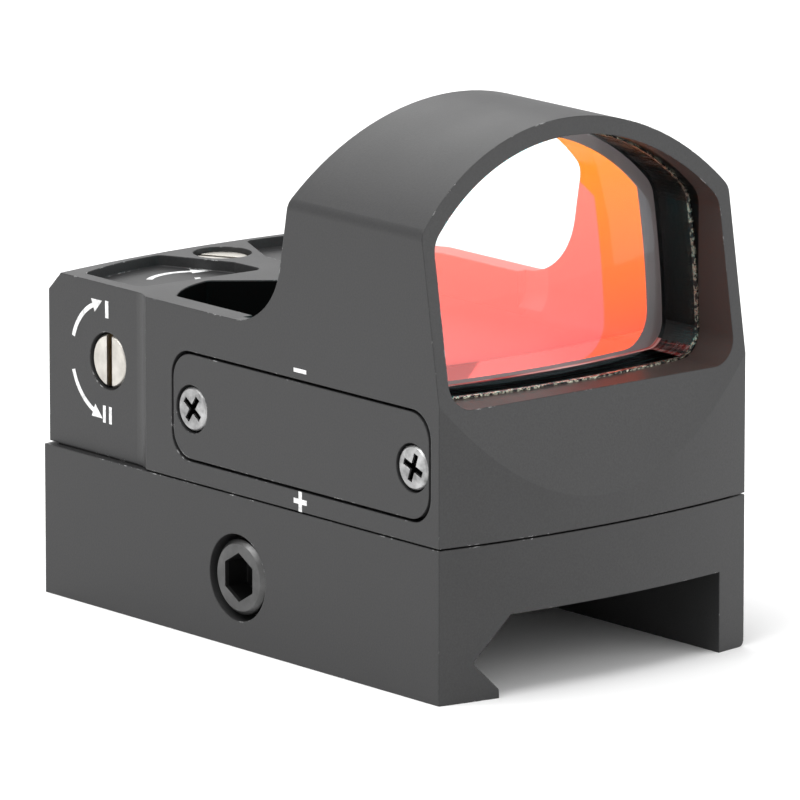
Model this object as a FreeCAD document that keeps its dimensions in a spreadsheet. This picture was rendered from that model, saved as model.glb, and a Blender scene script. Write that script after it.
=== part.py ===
import FreeCAD, Part
import math
import os
import re
import Sketcher

# Compact reflex sight on a low clamp base, millimetres.
# X runs across the sight, Y along it with the lens hood towards -Y, and Z up.
# The origin is at the middle of the underside of the clamp base.
# The battery door, the windage screw and the head of the clamp bolt are on the -X side.

DIMENSIONS = {
    # Outline that the housing and the base share
    "width": 28.0,
    "side_length": 44.5,
    "end_bulge": 1.3,
    "seam_height": 11.0,
    "seam_rebate": 0.7,
    "seam_gap": 0.14,
    "deck_height": 23.7,
    "top_height": 39.3,
    # Hood and tunnel
    "hood_radius": 18.47,
    "hood_back": 4.03,
    "hood_back_lean": 10.35,
    "hood_foot_radius": 5.4,
    "front_knee": 21.2,
    "front_lean": 9.3,
    "crease_radius": 1.2,
    "tunnel_width": 26.0,
    "tunnel_floor": 20.6,
    "tunnel_corner": 2.0,
    "arch_wall": 1.25,
    # Lens
    "lens_radius": 60.0,
    "lens_thickness": 3.5,
    "lens_gap": 0.15,
    "lens_lean": 8.5,
    "lens_front": 18.9,
    "lens_middle": 29.5,
    "blank_length": 16.0,
    "bond_proud": 0.35,
    "bond_depth": 3.4,
    # Deck
    "deck_chamfer": 1.4,
    "pocket_depth": 0.8,
    "well_half_width": 12.2,
    "well_corner": 9.1,
    "well_bow": 9.0,
    "tunnel_end": 0.5,
    "well_rear": 12.05,
    "nose_front": 8.4,
    "nose_half_width": 2.4,
    "nose_root": 7.0,
    "nose_wall": 0.9,
    "nose_room": 1.8,
    "nose_top": 22.6,
    "nose_rear": 14.3,
    "nose_low": 20.0,
    "well_fillet": 0.8,
    "pocket_outer": 12.3,
    "pocket_inner": 1.4,
    "pocket_front": 13.2,
    "pocket_rear": 21.45,
    "pocket_bow": 22.0,
    "pocket_front_step": 0.6,
    "pocket_rear_step": 1.8,
    "spine_flare": 2.6,
    "spine_waist": 0.1,
    "spine_straight": 2.8,
    "pocket_fillet": 0.8,
    "side_recess": 0.55,
    "recess_start": 10.4,
    "recess_blend": 3.0,
    # Rail channel and clamp
    "channel_ceiling": 5.85,
    "jaw_apex": 11.33,
    "jaw_apex_height": 2.75,
    "jaw_tip": 9.2,
    "far_leg": 11.3,
    "bolt_height": 5.1,
    "bolt_radius": 2.0,
    "bolt_head_radius": 2.72,
    "bolt_head_face": 13.9,
    "bolt_head_seat": 11.9,
    "bolt_end": 13.6,
    "bolt_hex": 3.1,
    "bolt_sink_radius": 3.15,
    "bolt_socket_depth": 2.0,
    "rail_width": 21.2,
    "jaw_rest_gap": 0.06,
    "jaw_width": 7.6,
    "jaw_window_top": 8.2,
    "jaw_window_back": 9.2,
    "jaw_window_play": 0.4,
    "jaw_lip_drop": 1.9,
    "jaw_lip_low": 0.25,
    "jaw_relief": 0.3,
    "channel_edge": 0.3,
    "jaw_face": 12.0,
    "jaw_top": 8.0,
    "leg_edge": 0.5,
    # Fits and edges
    "running_gap": 0.05,
    "slide_gap": 0.1,
    "edge_break": 0.3,
    "thread_point": 0.4,
    "cut_past": 2.0,
    # Battery compartment and its door
    "door_front": 21.15,
    "door_rear": 7.2,
    "door_low": 12.8,
    "door_high": 20.35,
    "door_corner": 2.0,
    "door_thickness": 1.5,
    "door_seat": 1.6,
    "door_gap": 0.22,
    "cell_gap": 0.15,
    "door_screw_front": 19.36,
    "door_screw_rear": 5.14,
    "door_screw_height": 16.4,
    "door_screw_radius": 1.0,
    "door_screw_head": 1.6,
    "door_screw_seat": 0.95,
    "door_screw_length": 5.6,
    "door_screw_bore": 4.6,
    "door_screw_sink": 0.15,
    "door_screw_below": 0.05,
    "cross_reach": 1.05,
    "cross_half": 0.24,
    "cross_depth": 0.7,
    "gasket_width": 0.45,
    "gasket_depth": 0.5,
    "battery_radius": 10.0,
    "battery_thickness": 3.2,
    "battery_middle": 7.0,
    "battery_inset": 1.2,
    "battery_height": 14.6,
    "cell_slot_play": 0.3,
    "cap_step": 1.3,
    "tray_floor": 1.9,
    "tray_gap": 0.1,
    "tray_slot_turn": 1.1,
    "channel_depth": 1.1,
    "leaf_rise": 0.75,
    "leaf_tip_rise": 0.6,
    "leaf_thickness": 0.2,
    "leaf_bend": 3.0,
    "leaf_touch": 2.0,
    "bay_side": 11.4,
    "bay_front": 17.6,
    "bay_rear": 3.6,
    "bay_top": 19.5,
    "board_face": 10.7,
    "board_thickness": 0.8,
    "board_bay": 12.2,
    "board_rear": 8.2,
    "board_end": 6.0,
    # Push buttons on the +X side
    "button_height": 16.5,
    "button_front": 10.5,
    "button_rear": 3.5,
    "button_radius": 2.2,
    "button_recess": 0.8,
    "button_frame": 1.5,
    "button_face": 13.85,
    "button_flange": 0.6,
    "button_stem": 0.9,
    "flange_end": 0.4,
    "stem_end": 0.55,
    "dish_half": 1.2,
    "dish_depth": 0.3,
    "bezel_thickness": 0.5,
    "bezel_gap": 0.1,
    "switch_half": 1.6,
    "switch_height": 0.35,
    "plunger_radius": 0.8,
    "plunger_rise": 0.2,
    "chip_height": 0.9,
    "chip_side": 3.5,
    "contact_reach": 5.0,
    "contact_width": 2.0,
    # Windage and elevation
    "windage_y": 15.46,
    "windage_z": 18.1,
    "elevation_y": 19.2,
    "adjuster_head": 1.95,
    "adjuster_gap": 0.2,
    "adjuster_seat": 1.3,
    "adjuster_shank": 1.0,
    "adjuster_travel": 0.5,
    "works_side": 9.5,
    "works_front": 12.4,
    "works_rear": 20.9,
    "works_top": 20.4,
    "elevation_floor": 21.3,
    "windage_floor": 11.2,
    "guide_pin_side": 5.8,
    "guide_pin_radius": 0.75,
    "guide_pin_grip": 0.8,
    "beam_height": 21.7,
    "window_side": 1.5,
    "window_rise": 0.95,
    "window_thickness": 0.55,
    "slot_width": 0.62,
    "slot_depth": 0.7,
    "window_lip": 0.3,
    "windage_length": 17.8,
    "elevation_length": 10.8,
    "windage_below": 0.12,
    "elevation_below": 0.3,
    "clip_radius": 1.6,
    "clip_thickness": 0.35,
    "o_ring_radius": 0.35,
    "spring_wire": 0.15,
    "spring_radius": 1.4,
    "spring_end": 0.2,
    "carriage_side": 7.4,
    "carriage_front": 17.3,
    "carriage_low": 13.3,
    "carriage_height": 3.0,
    "shelf_side": 3.2,
    "shelf_top": 14.85,
    "nut_side": 1.9,
    "nut_half": 1.3,
    "tongue_half": 0.8,
    "foot_height": 1.4,
    "arm_side": 1.2,
    "arm_height": 1.0,
    "led_half": 0.8,
    "led_rise": 0.3,
    "led_room": 0.75,
    "led_height": 0.8,
    "led_depth": 0.3,
    "led_lens_radius": 0.3,
    "led_lens_length": 0.2,
    # Screws and pins between base and housing
    "base_screw_side": 6.0,
    "base_screw_front": 19.4,
    "base_screw_rear": 10.3,
    "base_screw_radius": 1.25,
    "base_screw_head": 2.3,
    "base_screw_tip": 15.0,
    "base_screw_hex": 2.0,
    "base_socket_depth": 0.9,
    "locating_pin_side": 9.8,
    "locating_pin_radius": 1.0,
    "pin_grip": 2.0,
    "seal_side": 13.0,
    "seal_end": 21.6,
    "seal_width": 0.5,
    "seal_depth": 0.7,
    "base_screw_sink": 1.4,
}

SHEET = "Dimensions"
END_RADIUS = "((width / 2)^2 + end_bulge^2) / (2 * end_bulge)"
TUNNEL_RADIUS = "hood_radius - arch_wall"
HOOD_CENTRE = "top_height - hood_radius"

# Degrees that each recess is turned from square, and the springs' numbers of turns.
FRONT_TWIST = 20
REAR_TWIST = 35
SLOT_TWIST = 62
WINDAGE_TURNS = 8
ELEVATION_TURNS = 3

doc = FreeCAD.newDocument("ReflexSight")
sheet = doc.addObject("Spreadsheet::Sheet", SHEET)
for row, (alias, number) in enumerate(DIMENSIONS.items(), 1):
    sheet.set(f"A{row}", alias)
    sheet.set(f"B{row}", str(number))
    sheet.setAlias(f"B{row}", alias)
doc.recompute()


# Expressions and placing

def bound(text):
    """Put the sheet's name before each alias in an expression."""
    return re.sub(r"[a-z_]{3,}", lambda word: f"{SHEET}.{word.group()}" if word.group() in DIMENSIONS
                  else word.group(), text)


def value(text):
    """Return the number that an expression gives."""
    return float(sheet.evalExpression(bound(text)))


def vector(x, y, z):
    return FreeCAD.Vector(value(x), value(y), value(z))


def move(thing, x="0", y="0", z="0"):
    """Bind where an object stands to three expressions."""
    for axis, text in zip("xyz", (x, y, z)):
        thing.setExpression(f".Placement.Base.{axis}", bound(text))


TURNS = {
    "+X": FreeCAD.Rotation(FreeCAD.Vector(0, 1, 0), 90),
    "-X": FreeCAD.Rotation(FreeCAD.Vector(0, 1, 0), -90),
    "-Y": FreeCAD.Rotation(FreeCAD.Vector(1, 0, 0), 90),
    "+Z": FreeCAD.Rotation(),
    "-Z": FreeCAD.Rotation(FreeCAD.Vector(1, 0, 0), 180),
}


# Primitives and booleans

def box(name, x, y, z):
    """Make a block between the pair of expressions given for each axis."""
    block = doc.addObject("Part::Box", name)
    for size, (low, high) in zip(("Length", "Width", "Height"), (x, y, z)):
        block.setExpression(size, bound(f"({high}) - ({low})"))
    move(block, x[0], y[0], z[0])
    return block


def rod(name, direction, start, radius, length):
    """Make a cylinder from a start point along one of the directions in TURNS."""
    cylinder = doc.addObject("Part::Cylinder", name)
    cylinder.Placement.Rotation = TURNS[direction]
    cylinder.setExpression("Radius", bound(radius))
    cylinder.setExpression("Height", bound(length))
    move(cylinder, *start)
    return cylinder


def fuse(name, pieces):
    joined = doc.addObject("Part::MultiFuse", name)
    joined.Shapes = pieces
    return joined


def cut(name, base, tools):
    """Take one or more tools from a base."""
    result = doc.addObject("Part::Cut", name)
    result.Base = base
    result.Tool = tools[0] if len(tools) == 1 else fuse(name + "_tools", tools)
    return result


def common(name, base, tool):
    result = doc.addObject("Part::Common", name)
    result.Base = base
    result.Tool = tool
    return result


# Sketches

def sketch_on(body, name, plane, offset="0"):
    """Attach a sketch to one of the body's origin planes, at an offset along the plane's normal."""
    sketch = body.newObject("Sketcher::SketchObject", name)
    support = next(item for item in body.Origin.OriginFeatures if item.Role == plane)
    sketch.AttachmentSupport = [(support, "")]
    sketch.MapMode = "FlatFace"
    sketch.setExpression(".AttachmentOffset.Base.z", bound(offset))
    return sketch


def pin(sketch, edge, end, x, y):
    """Hold one end of an edge at two expressions."""
    for axis, text, line in (("X", x, -2), ("Y", y, -1)):
        if text == "0":
            sketch.addConstraint(Sketcher.Constraint("PointOnObject", edge, end, line))
        else:
            row = sketch.addConstraint(Sketcher.Constraint("Distance" + axis, -1, 1, edge, end, value(text)))
            sketch.setExpression(f"Constraints[{row}]", bound(text))


def bend(here, there, radius):
    """Return the middle of an arc between two points. A positive radius bulges to the right."""
    chord = there - here
    half = chord.Length / 2
    height = abs(radius) - math.sqrt(max(radius * radius - half * half, 0))
    right = FreeCAD.Vector(chord.y, -chord.x, 0).normalize()
    return here + chord * 0.5 + right * math.copysign(height, radius)


def outline(sketch, corners):
    """Close a loop through corners. A third entry is the radius of the arc that leaves the corner."""
    points = [vector(corner[0], corner[1], "0") for corner in corners]
    starts = []
    for corner, here, there in zip(corners, points, points[1:] + points[:1]):
        if len(corner) == 2:
            geometry = Part.LineSegment(here, there)
        else:
            geometry = Part.Arc(here, bend(here, there, value(corner[2])), there)
        edge = sketch.addGeometry(geometry, False)
        first = 1 if sketch.getPoint(edge, 1).distanceToPoint(here) < 1e-6 else 2
        starts.append((edge, first))
    for (edge, first), (after, begin) in zip(starts, starts[1:] + starts[:1]):
        sketch.addConstraint(Sketcher.Constraint("Coincident", edge, 3 - first, after, begin))
    for corner, (edge, first) in zip(corners, starts):
        pin(sketch, edge, first, corner[0], corner[1])
        if len(corner) == 3:
            row = sketch.addConstraint(Sketcher.Constraint("Radius", edge, abs(value(corner[2]))))
            sketch.setExpression(f"Constraints[{row}]", bound(f"abs({corner[2]})"))


def rectangle(sketch, left, right, low, high):
    outline(sketch, [(left, low), (right, low), (right, high), (left, high)])


def circle(sketch, x, y, radius):
    ring = Part.Circle(vector(x, y, "0"), FreeCAD.Vector(0, 0, 1), value(radius))
    round_edge = sketch.addGeometry(ring, False)
    pin(sketch, round_edge, 3, x, y)
    row = sketch.addConstraint(Sketcher.Constraint("Radius", round_edge, value(radius)))
    sketch.setExpression(f"Constraints[{row}]", bound(radius))


# Features

def new_body(label):
    body = doc.addObject("PartDesign::Body", label)
    body.Label = label
    return body


def pad(body, sketch, length, symmetric=False, backwards=False):
    feature = body.newObject("PartDesign::Pad", sketch.Name + "_pad")
    feature.Profile = sketch
    feature.SideType = "Symmetric" if symmetric else "One side"
    feature.Reversed = backwards
    feature.setExpression("Length", bound(length))
    return feature


def pocket(body, sketch, depth, along_normal=False, symmetric=False):
    """Cut a sketch into the body and make sure that it took material away."""
    doc.recompute()
    before = body.Shape.Volume
    feature = body.newObject("PartDesign::Pocket", sketch.Name + "_pocket")
    feature.Profile = sketch
    feature.SideType = "Symmetric" if symmetric else "One side"
    feature.Reversed = along_normal
    feature.setExpression("Length", bound(depth))
    doc.recompute()
    if body.Shape.Volume > before - 1e-3:
        raise RuntimeError(f"{feature.Name} cut nothing")
    return feature


def turn(body, sketch, groove=False):
    """Revolve a half section drawn on the XZ plane about the body's own Z axis."""
    kind = "Groove" if groove else "Revolution"
    feature = body.newObject("PartDesign::" + kind, sketch.Name + "_turn")
    feature.Profile = sketch
    feature.ReferenceAxis = (sketch, ["V_Axis"])
    feature.Angle = 360
    return feature


def lies_on(edge, x=None, y=None, z=None, middle_y=None):
    """Say whether both ends and the middle of an edge have the given coordinates."""
    middle = edge.valueAt((edge.FirstParameter + edge.LastParameter) / 2)
    if middle_y is not None and abs(middle.y - value(middle_y)) > 0.02:
        return False
    points = [vertex.Point for vertex in edge.Vertexes] + [middle]
    for axis, text in (("x", x), ("y", y), ("z", z)):
        if text is not None and any(abs(getattr(point, axis) - value(text)) > 0.02 for point in points):
            return False
    return True


def dress(body, kind, size, places):
    """Fillet or chamfer the edges that lie at the given places."""
    doc.recompute()
    base = body.Tip
    names = [f"Edge{number}" for number, edge in enumerate(base.Shape.Edges, 1)
             if any(lies_on(edge, **place) for place in places)]
    if len(names) < len(places):
        raise RuntimeError(f"{body.Label} has {len(names)} of {len(places)} edges for its {kind}")
    feature = body.newObject("PartDesign::" + kind, f"{body.Label}_{kind}_{len(body.Group)}")
    feature.Base = (base, names)
    feature.setExpression("Radius" if kind == "Fillet" else "Size", bound(size))
    return feature


def plan_outline(sketch, inset="0"):
    """Draw the shared plan, smaller by an inset: straight sides and gently bowed ends."""
    side = f"(width / 2 - {inset})"
    end = f"(side_length / 2 - {inset})"
    outline(sketch, [
        (f"-{side}", end),
        (f"-{side}", f"-{end}", END_RADIUS),
        (side, f"-{end}"),
        (side, end, END_RADIUS),
    ])


def tunnel_outline(sketch, inset):
    """Draw the section of the lens tunnel, smaller by an inset all round."""
    side = f"(tunnel_width / 2 - {inset})"
    radius = f"({TUNNEL_RADIUS} - {inset})"
    spring = f"{HOOD_CENTRE} + sqrt({radius}^2 - {side}^2)"
    floor = f"tunnel_floor + {inset}"
    outline(sketch, [
        (f"-{side}", floor),
        (side, floor),
        (side, spring, radius),
        (f"-{side}", spring),
    ])
    return [{"x": sign + side, "z": height} for sign in ("-", "") for height in (floor, spring)]


# Housing

def front_plane_y(height):
    """Return where the leaning front of the hood stands at a height."""
    return f"-side_length / 2 + (({height}) - front_knee) * tan(front_lean)"


def hood_back_y(height):
    """Return where the leaning back of the hood stands at a height."""
    return f"-hood_back - (({height}) - deck_height) * tan(hood_back_lean)"


def block_out_housing(body):
    """Make the housing's outside: body, deck, leaning hood and its arch."""
    above = "top_height + cut_past"
    beyond = "side_length / 2 + end_bulge + cut_past"
    across = "width + cut_past"

    plan = sketch_on(body, "housing_plan", "XY_Plane", "seam_height")
    plan_outline(plan)
    pad(body, plan, "top_height - seam_height")

    back = sketch_on(body, "hood_back_cut", "YZ_Plane")
    outline(back, [
        (hood_back_y("deck_height"), "deck_height"),
        (beyond, "deck_height"),
        (beyond, above),
        (hood_back_y(above), above),
    ])
    pocket(body, back, across, symmetric=True)
    dress(body, "Fillet", "hood_foot_radius", [{"y": hood_back_y("deck_height"), "z": "deck_height"}])

    below = "seam_height - cut_past"
    front = sketch_on(body, "hood_front_cut", "YZ_Plane")
    outline(front, [
        (front_plane_y(below), below),
        (front_plane_y(above), above),
        (f"-({beyond})", above),
        (f"-({beyond})", below),
    ])
    pocket(body, front, across, symmetric=True)

    reach = "(width / 2 + cut_past / 2)"
    shoulder = f"{HOOD_CENTRE} + sqrt(hood_radius^2 - {reach}^2)"
    arch = sketch_on(body, "hood_arch_cut", "XZ_Plane")
    outline(arch, [
        (f"-{reach}", shoulder, "-hood_radius"),
        (reach, shoulder),
        (reach, above),
        (f"-{reach}", above),
    ])
    pocket(body, arch, f"2 * ({beyond})", symmetric=True)
    dress(body, "Chamfer", "deck_chamfer", [{"z": "deck_height", "middle_y": "side_length / 2 + end_bulge"}])
    crease = f"{HOOD_CENTRE} + sqrt(hood_radius^2 - (width / 2)^2)"
    dress(body, "Fillet", "crease_radius", [{"x": x, "z": crease} for x in ("-width / 2", "width / 2")])


def cut_tunnel(body):
    """Cut the lens tunnel through the hood, with rounded corners."""
    start = "side_length / 2 + end_bulge + cut_past"
    tunnel = sketch_on(body, "tunnel", "XZ_Plane", start)
    corners = tunnel_outline(tunnel, "0")
    pocket(body, tunnel, f"{start} + tunnel_end")
    dress(body, "Fillet", "tunnel_corner", corners)


def cut_deck(body):
    """Cut the emitter's well, the shallow pockets beside the spine, and the rear chamfer."""
    well = sketch_on(body, "well", "XY_Plane", "deck_height")
    outline(well, [
        ("-well_half_width", "-tunnel_end"),
        ("well_half_width", "-tunnel_end"),
        ("well_half_width", "well_corner", "well_bow"),
        ("nose_root", "well_rear"),
        ("nose_half_width", "nose_front"),
        ("-nose_half_width", "nose_front"),
        ("-nose_root", "well_rear", "well_bow"),
        ("-well_half_width", "well_corner"),
    ])
    pocket(body, well, "deck_height - tunnel_floor")
    corners = (("well_half_width", "well_corner"), ("nose_root", "well_rear"))
    dress(body, "Fillet", "well_fillet", [{"x": sign + x, "y": y} for sign in ("-", "") for x, y in corners])

    spine_front = ("pocket_inner", "pocket_front - pocket_front_step")
    spine_rear = ("pocket_inner + spine_flare", "pocket_rear")
    outer_rear = ("pocket_outer", "pocket_rear - pocket_rear_step")
    outer_front = ("pocket_outer", "pocket_front")
    pockets = sketch_on(body, "deck_pockets", "XY_Plane", "deck_height")
    for side in (-1, 1):
        outline(pockets, [
            (f"{side} * ({outer_front[0]})", outer_front[1]),
            (f"{side} * ({spine_front[0]})", spine_front[1]),
            (f"{side} * (pocket_inner + spine_waist)", "pocket_front + spine_straight"),
            (f"{side} * ({spine_rear[0]})", spine_rear[1], f"{-side} * pocket_bow"),
            (f"{side} * ({outer_rear[0]})", outer_rear[1]),
        ])
    pocket(body, pockets, "pocket_depth")
    dress(body, "Fillet", "pocket_fillet", [
        {"x": f"{side} * ({x})", "y": y}
        for side in (-1, 1) for x, y in (spine_front, spine_rear, outer_rear, outer_front)
    ])


def cut_sides(body):
    """Step the rear of both sides inwards behind a hollow blend."""
    blend_end = "recess_start + sqrt(2 * recess_blend * side_recess - side_recess^2)"
    beyond = "side_length / 2 + end_bulge + cut_past"
    recess = sketch_on(body, "side_recess_plan", "XY_Plane", "deck_height + cut_past")
    for side in (-1, 1):
        outline(recess, [
            (f"{side} * (width / 2 + cut_past)", "recess_start"),
            (f"{side} * width / 2", "recess_start", f"{-side} * recess_blend"),
            (f"{side} * (width / 2 - side_recess)", blend_end),
            (f"{side} * (width / 2 - side_recess)", beyond),
            (f"{side} * (width / 2 + cut_past)", beyond),
        ])
    pocket(body, recess, "deck_height - seam_height + 2 * cut_past")


def cut_seam(body):
    """Rebate the foot of the housing, which leaves the thin dark line above the base."""
    rebate = sketch_on(body, "seam_rebate_plan", "XY_Plane", "seam_height")
    reach = "side_length / 2 + end_bulge + cut_past"
    rectangle(rebate, "-width / 2 - cut_past", "width / 2 + cut_past", f"-({reach})", reach)
    plan_outline(rebate, "seam_rebate")
    pocket(body, rebate, "seam_gap", along_normal=True)


def cut_compartments(body):
    """Hollow the housing from below: battery bay, board bay, adjuster works and the beam's nose."""
    bay = sketch_on(body, "battery_bay", "XY_Plane", "seam_height")
    outline(bay, [
        ("-bay_side", "-bay_front"),
        ("board_bay", "-bay_front"),
        ("board_bay", "board_rear"),
        ("-board_end", "board_rear"),
        ("-board_end", "bay_rear"),
        ("-bay_side", "bay_rear"),
    ])
    pocket(body, bay, "bay_top - seam_height", along_normal=True)

    works = sketch_on(body, "adjuster_works", "XY_Plane", "seam_height")
    rectangle(works, "-works_side", "works_side", "works_front", "works_rear")
    pocket(body, works, "works_top - seam_height", along_normal=True)

    nose = sketch_on(body, "nose_room", "XY_Plane", "nose_low")
    rectangle(nose, "-nose_room", "nose_room", "nose_front + nose_wall", "nose_rear")
    pocket(body, nose, "nose_top - nose_low", along_normal=True)

    groove = sketch_on(body, "seal_groove", "XY_Plane", "seam_height")
    seal_outline(groove)
    pocket(body, groove, "seal_depth", along_normal=True)


def seal_outline(sketch):
    """Draw the seal's loop: one rectangle inside another."""
    rectangle(sketch, "-seal_side", "seal_side", "-seal_end", "seal_end")
    inner_side = "(seal_side - seal_width)"
    inner_end = "(seal_end - seal_width)"
    rectangle(sketch, f"-{inner_side}", inner_side, f"-{inner_end}", inner_end)


def cut_beam_window(body):
    """Open the nose's front wall: a seat for the window behind a smaller mouth."""
    wall_back = "-(nose_front + nose_wall)"
    seat = sketch_on(body, "window_seat", "XZ_Plane", wall_back)
    rectangle(seat, "-window_side", "window_side", "beam_height - window_rise", "beam_height + window_rise")
    pocket(body, seat, "window_thickness", along_normal=True)
    mouth = sketch_on(body, "window_mouth", "XZ_Plane", wall_back)
    rectangle(mouth, "-window_side + window_lip", "window_side - window_lip",
              "beam_height - window_rise + window_lip", "beam_height + window_rise - window_lip")
    pocket(body, mouth, "nose_wall + cut_past / 4", along_normal=True)


def cut_adjuster_bores(body):
    """Bore the stepped holes of the elevation and windage screws."""
    head = sketch_on(body, "elevation_bore", "XY_Plane", "deck_height")
    circle(head, "0", "elevation_y", "adjuster_head + adjuster_gap")
    pocket(body, head, "deck_height - elevation_floor")
    shank = sketch_on(body, "elevation_shank_bore", "XY_Plane", "deck_height")
    circle(shank, "0", "elevation_y", "adjuster_shank + running_gap")
    pocket(body, shank, "deck_height - works_top + slide_gap")

    outside = sketch_on(body, "windage_bore", "YZ_Plane", "-width / 2")
    circle(outside, "windage_y", "windage_z", "adjuster_head + adjuster_gap - running_gap")
    pocket(body, outside, "width / 2 - windage_floor", along_normal=True)
    inside = sketch_on(body, "windage_shank_bore", "YZ_Plane", "-width / 2")
    circle(inside, "windage_y", "windage_z", "adjuster_shank + running_gap")
    pocket(body, inside, "width / 2 - works_side + slide_gap", along_normal=True)

    pins = sketch_on(body, "guide_pin_bores", "XY_Plane", "works_top")
    for side in ("-", ""):
        circle(pins, side + "guide_pin_side", "elevation_y", "guide_pin_radius")
    pocket(body, pins, "guide_pin_grip", along_normal=True)


def cut_door_seat(body):
    """Sink the battery door's seat, its slot for the cell and its two screw holes."""
    low, high = "door_low - door_gap", "door_high + door_gap"
    front, rear = "-door_front - door_gap", "door_rear + door_gap"
    seat = sketch_on(body, "door_seat", "YZ_Plane", "-width / 2")
    rectangle(seat, front, rear, low, high)
    pocket(body, seat, "door_seat", along_normal=True)
    dress(body, "Fillet", "door_corner", [{"y": y, "z": z} for y in (front, rear) for z in (low, high)])

    slot = sketch_on(body, "cell_slot", "YZ_Plane", "-width / 2 + door_seat")
    reach = "(battery_radius + cell_gap)"
    rectangle(slot, f"-battery_middle - {reach}", f"-battery_middle + {reach}",
              "battery_height - cell_slot_play", "battery_height + battery_thickness + cell_slot_play")
    pocket(body, slot, "width / 2 - door_seat - bay_side + running_gap", along_normal=True)

    holes = sketch_on(body, "door_screw_bores", "YZ_Plane", "-width / 2 + door_seat")
    for place in ("-door_screw_front", "door_screw_rear"):
        circle(holes, place, "door_screw_height", "door_screw_radius + running_gap")
    pocket(body, holes, "door_screw_bore", along_normal=True)


def cut_button_seat(body):
    """Sink the button panel on the +X side and bore its two holes."""
    margin = "button_radius + button_frame"
    front, rear = f"-button_front - ({margin})", f"-button_rear + {margin}"
    low, high = f"button_height - ({margin})", f"button_height + {margin}"
    seat = sketch_on(body, "button_seat", "YZ_Plane", "width / 2")
    rectangle(seat, front, rear, low, high)
    pocket(body, seat, "button_recess")
    dress(body, "Fillet", "door_corner", [{"y": y, "z": z} for y in (front, rear) for z in (low, high)])
    holes = sketch_on(body, "button_bores", "YZ_Plane", "width / 2")
    for place in ("-button_front", "-button_rear"):
        circle(holes, place, "button_height", "button_radius + slide_gap")
    pocket(body, holes, "width / 2 - board_bay + slide_gap")


SCREW_PLACES = [(x, y) for x in ("-base_screw_side", "base_screw_side")
                for y in ("-base_screw_front", "base_screw_rear")]
PIN_PLACES = [("locating_pin_side", "-base_screw_front"), ("-locating_pin_side", "base_screw_rear")]


def cut_fastener_holes(body, label, screw_depth, upwards):
    """Bore the four screw holes and two dowel holes that join the housing and the base."""
    screws = sketch_on(body, label + "_screw_bores", "XY_Plane", "seam_height")
    for x, y in SCREW_PLACES:
        circle(screws, x, y, "base_screw_radius")
    pocket(body, screws, screw_depth, along_normal=upwards)
    pins = sketch_on(body, label + "_pin_bores", "XY_Plane", "seam_height")
    for x, y in PIN_PLACES:
        circle(pins, x, y, "locating_pin_radius")
    pocket(body, pins, "pin_grip", along_normal=upwards)


def make_optic_housing():
    body = new_body("optic_housing")
    block_out_housing(body)
    cut_tunnel(body)
    cut_deck(body)
    cut_sides(body)
    cut_seam(body)
    cut_compartments(body)
    cut_beam_window(body)
    cut_adjuster_bores(body)
    cut_door_seat(body)
    cut_button_seat(body)
    cut_fastener_holes(body, "housing", "base_screw_tip - seam_height", True)
    return body


# Lens and its bond

def make_lens_blank(label, inset):
    """Make a long plug that fills the tunnel's section, smaller by an inset."""
    body = new_body(label)
    section = sketch_on(body, label + "_section", "XZ_Plane", "lens_front - blank_length / 2")
    corners = tunnel_outline(section, inset)
    pad(body, section, "blank_length")
    dress(body, "Fillet", f"tunnel_corner - {inset}", corners)
    return body


def make_shell(label, front_radius, thickness):
    """Make the space between two spheres about the lens's centre of curvature."""
    balls = []
    for name, radius in (("front", front_radius), ("back", f"{front_radius} - {thickness}")):
        ball = doc.addObject("Part::Sphere", f"{label}_{name}_ball")
        ball.setExpression("Radius", bound(radius))
        move(ball, "0", "lens_radius * cos(lens_lean) - lens_front",
             "lens_middle - lens_radius * sin(lens_lean)")
        balls.append(ball)
    return cut(label + "_shell", balls[0], [balls[1]])


def make_objective_lens():
    """Make the lens: a leaning meniscus cut to the tunnel's outline."""
    blank = make_lens_blank("lens_blank", "lens_gap")
    return common("objective_lens", blank, make_shell("lens", "lens_radius", "lens_thickness"))


def make_lens_bond():
    """Make the adhesive bead that fills the gap round the lens and stands a little proud of it."""
    outside = make_lens_blank("bond_outside", "0")
    ring = cut("bond_ring", outside, [make_lens_blank("bond_inside", "lens_gap")])
    return common("lens_bond", ring, make_shell("bond", "lens_radius + bond_proud", "bond_depth"))


# Clamp base

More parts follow.
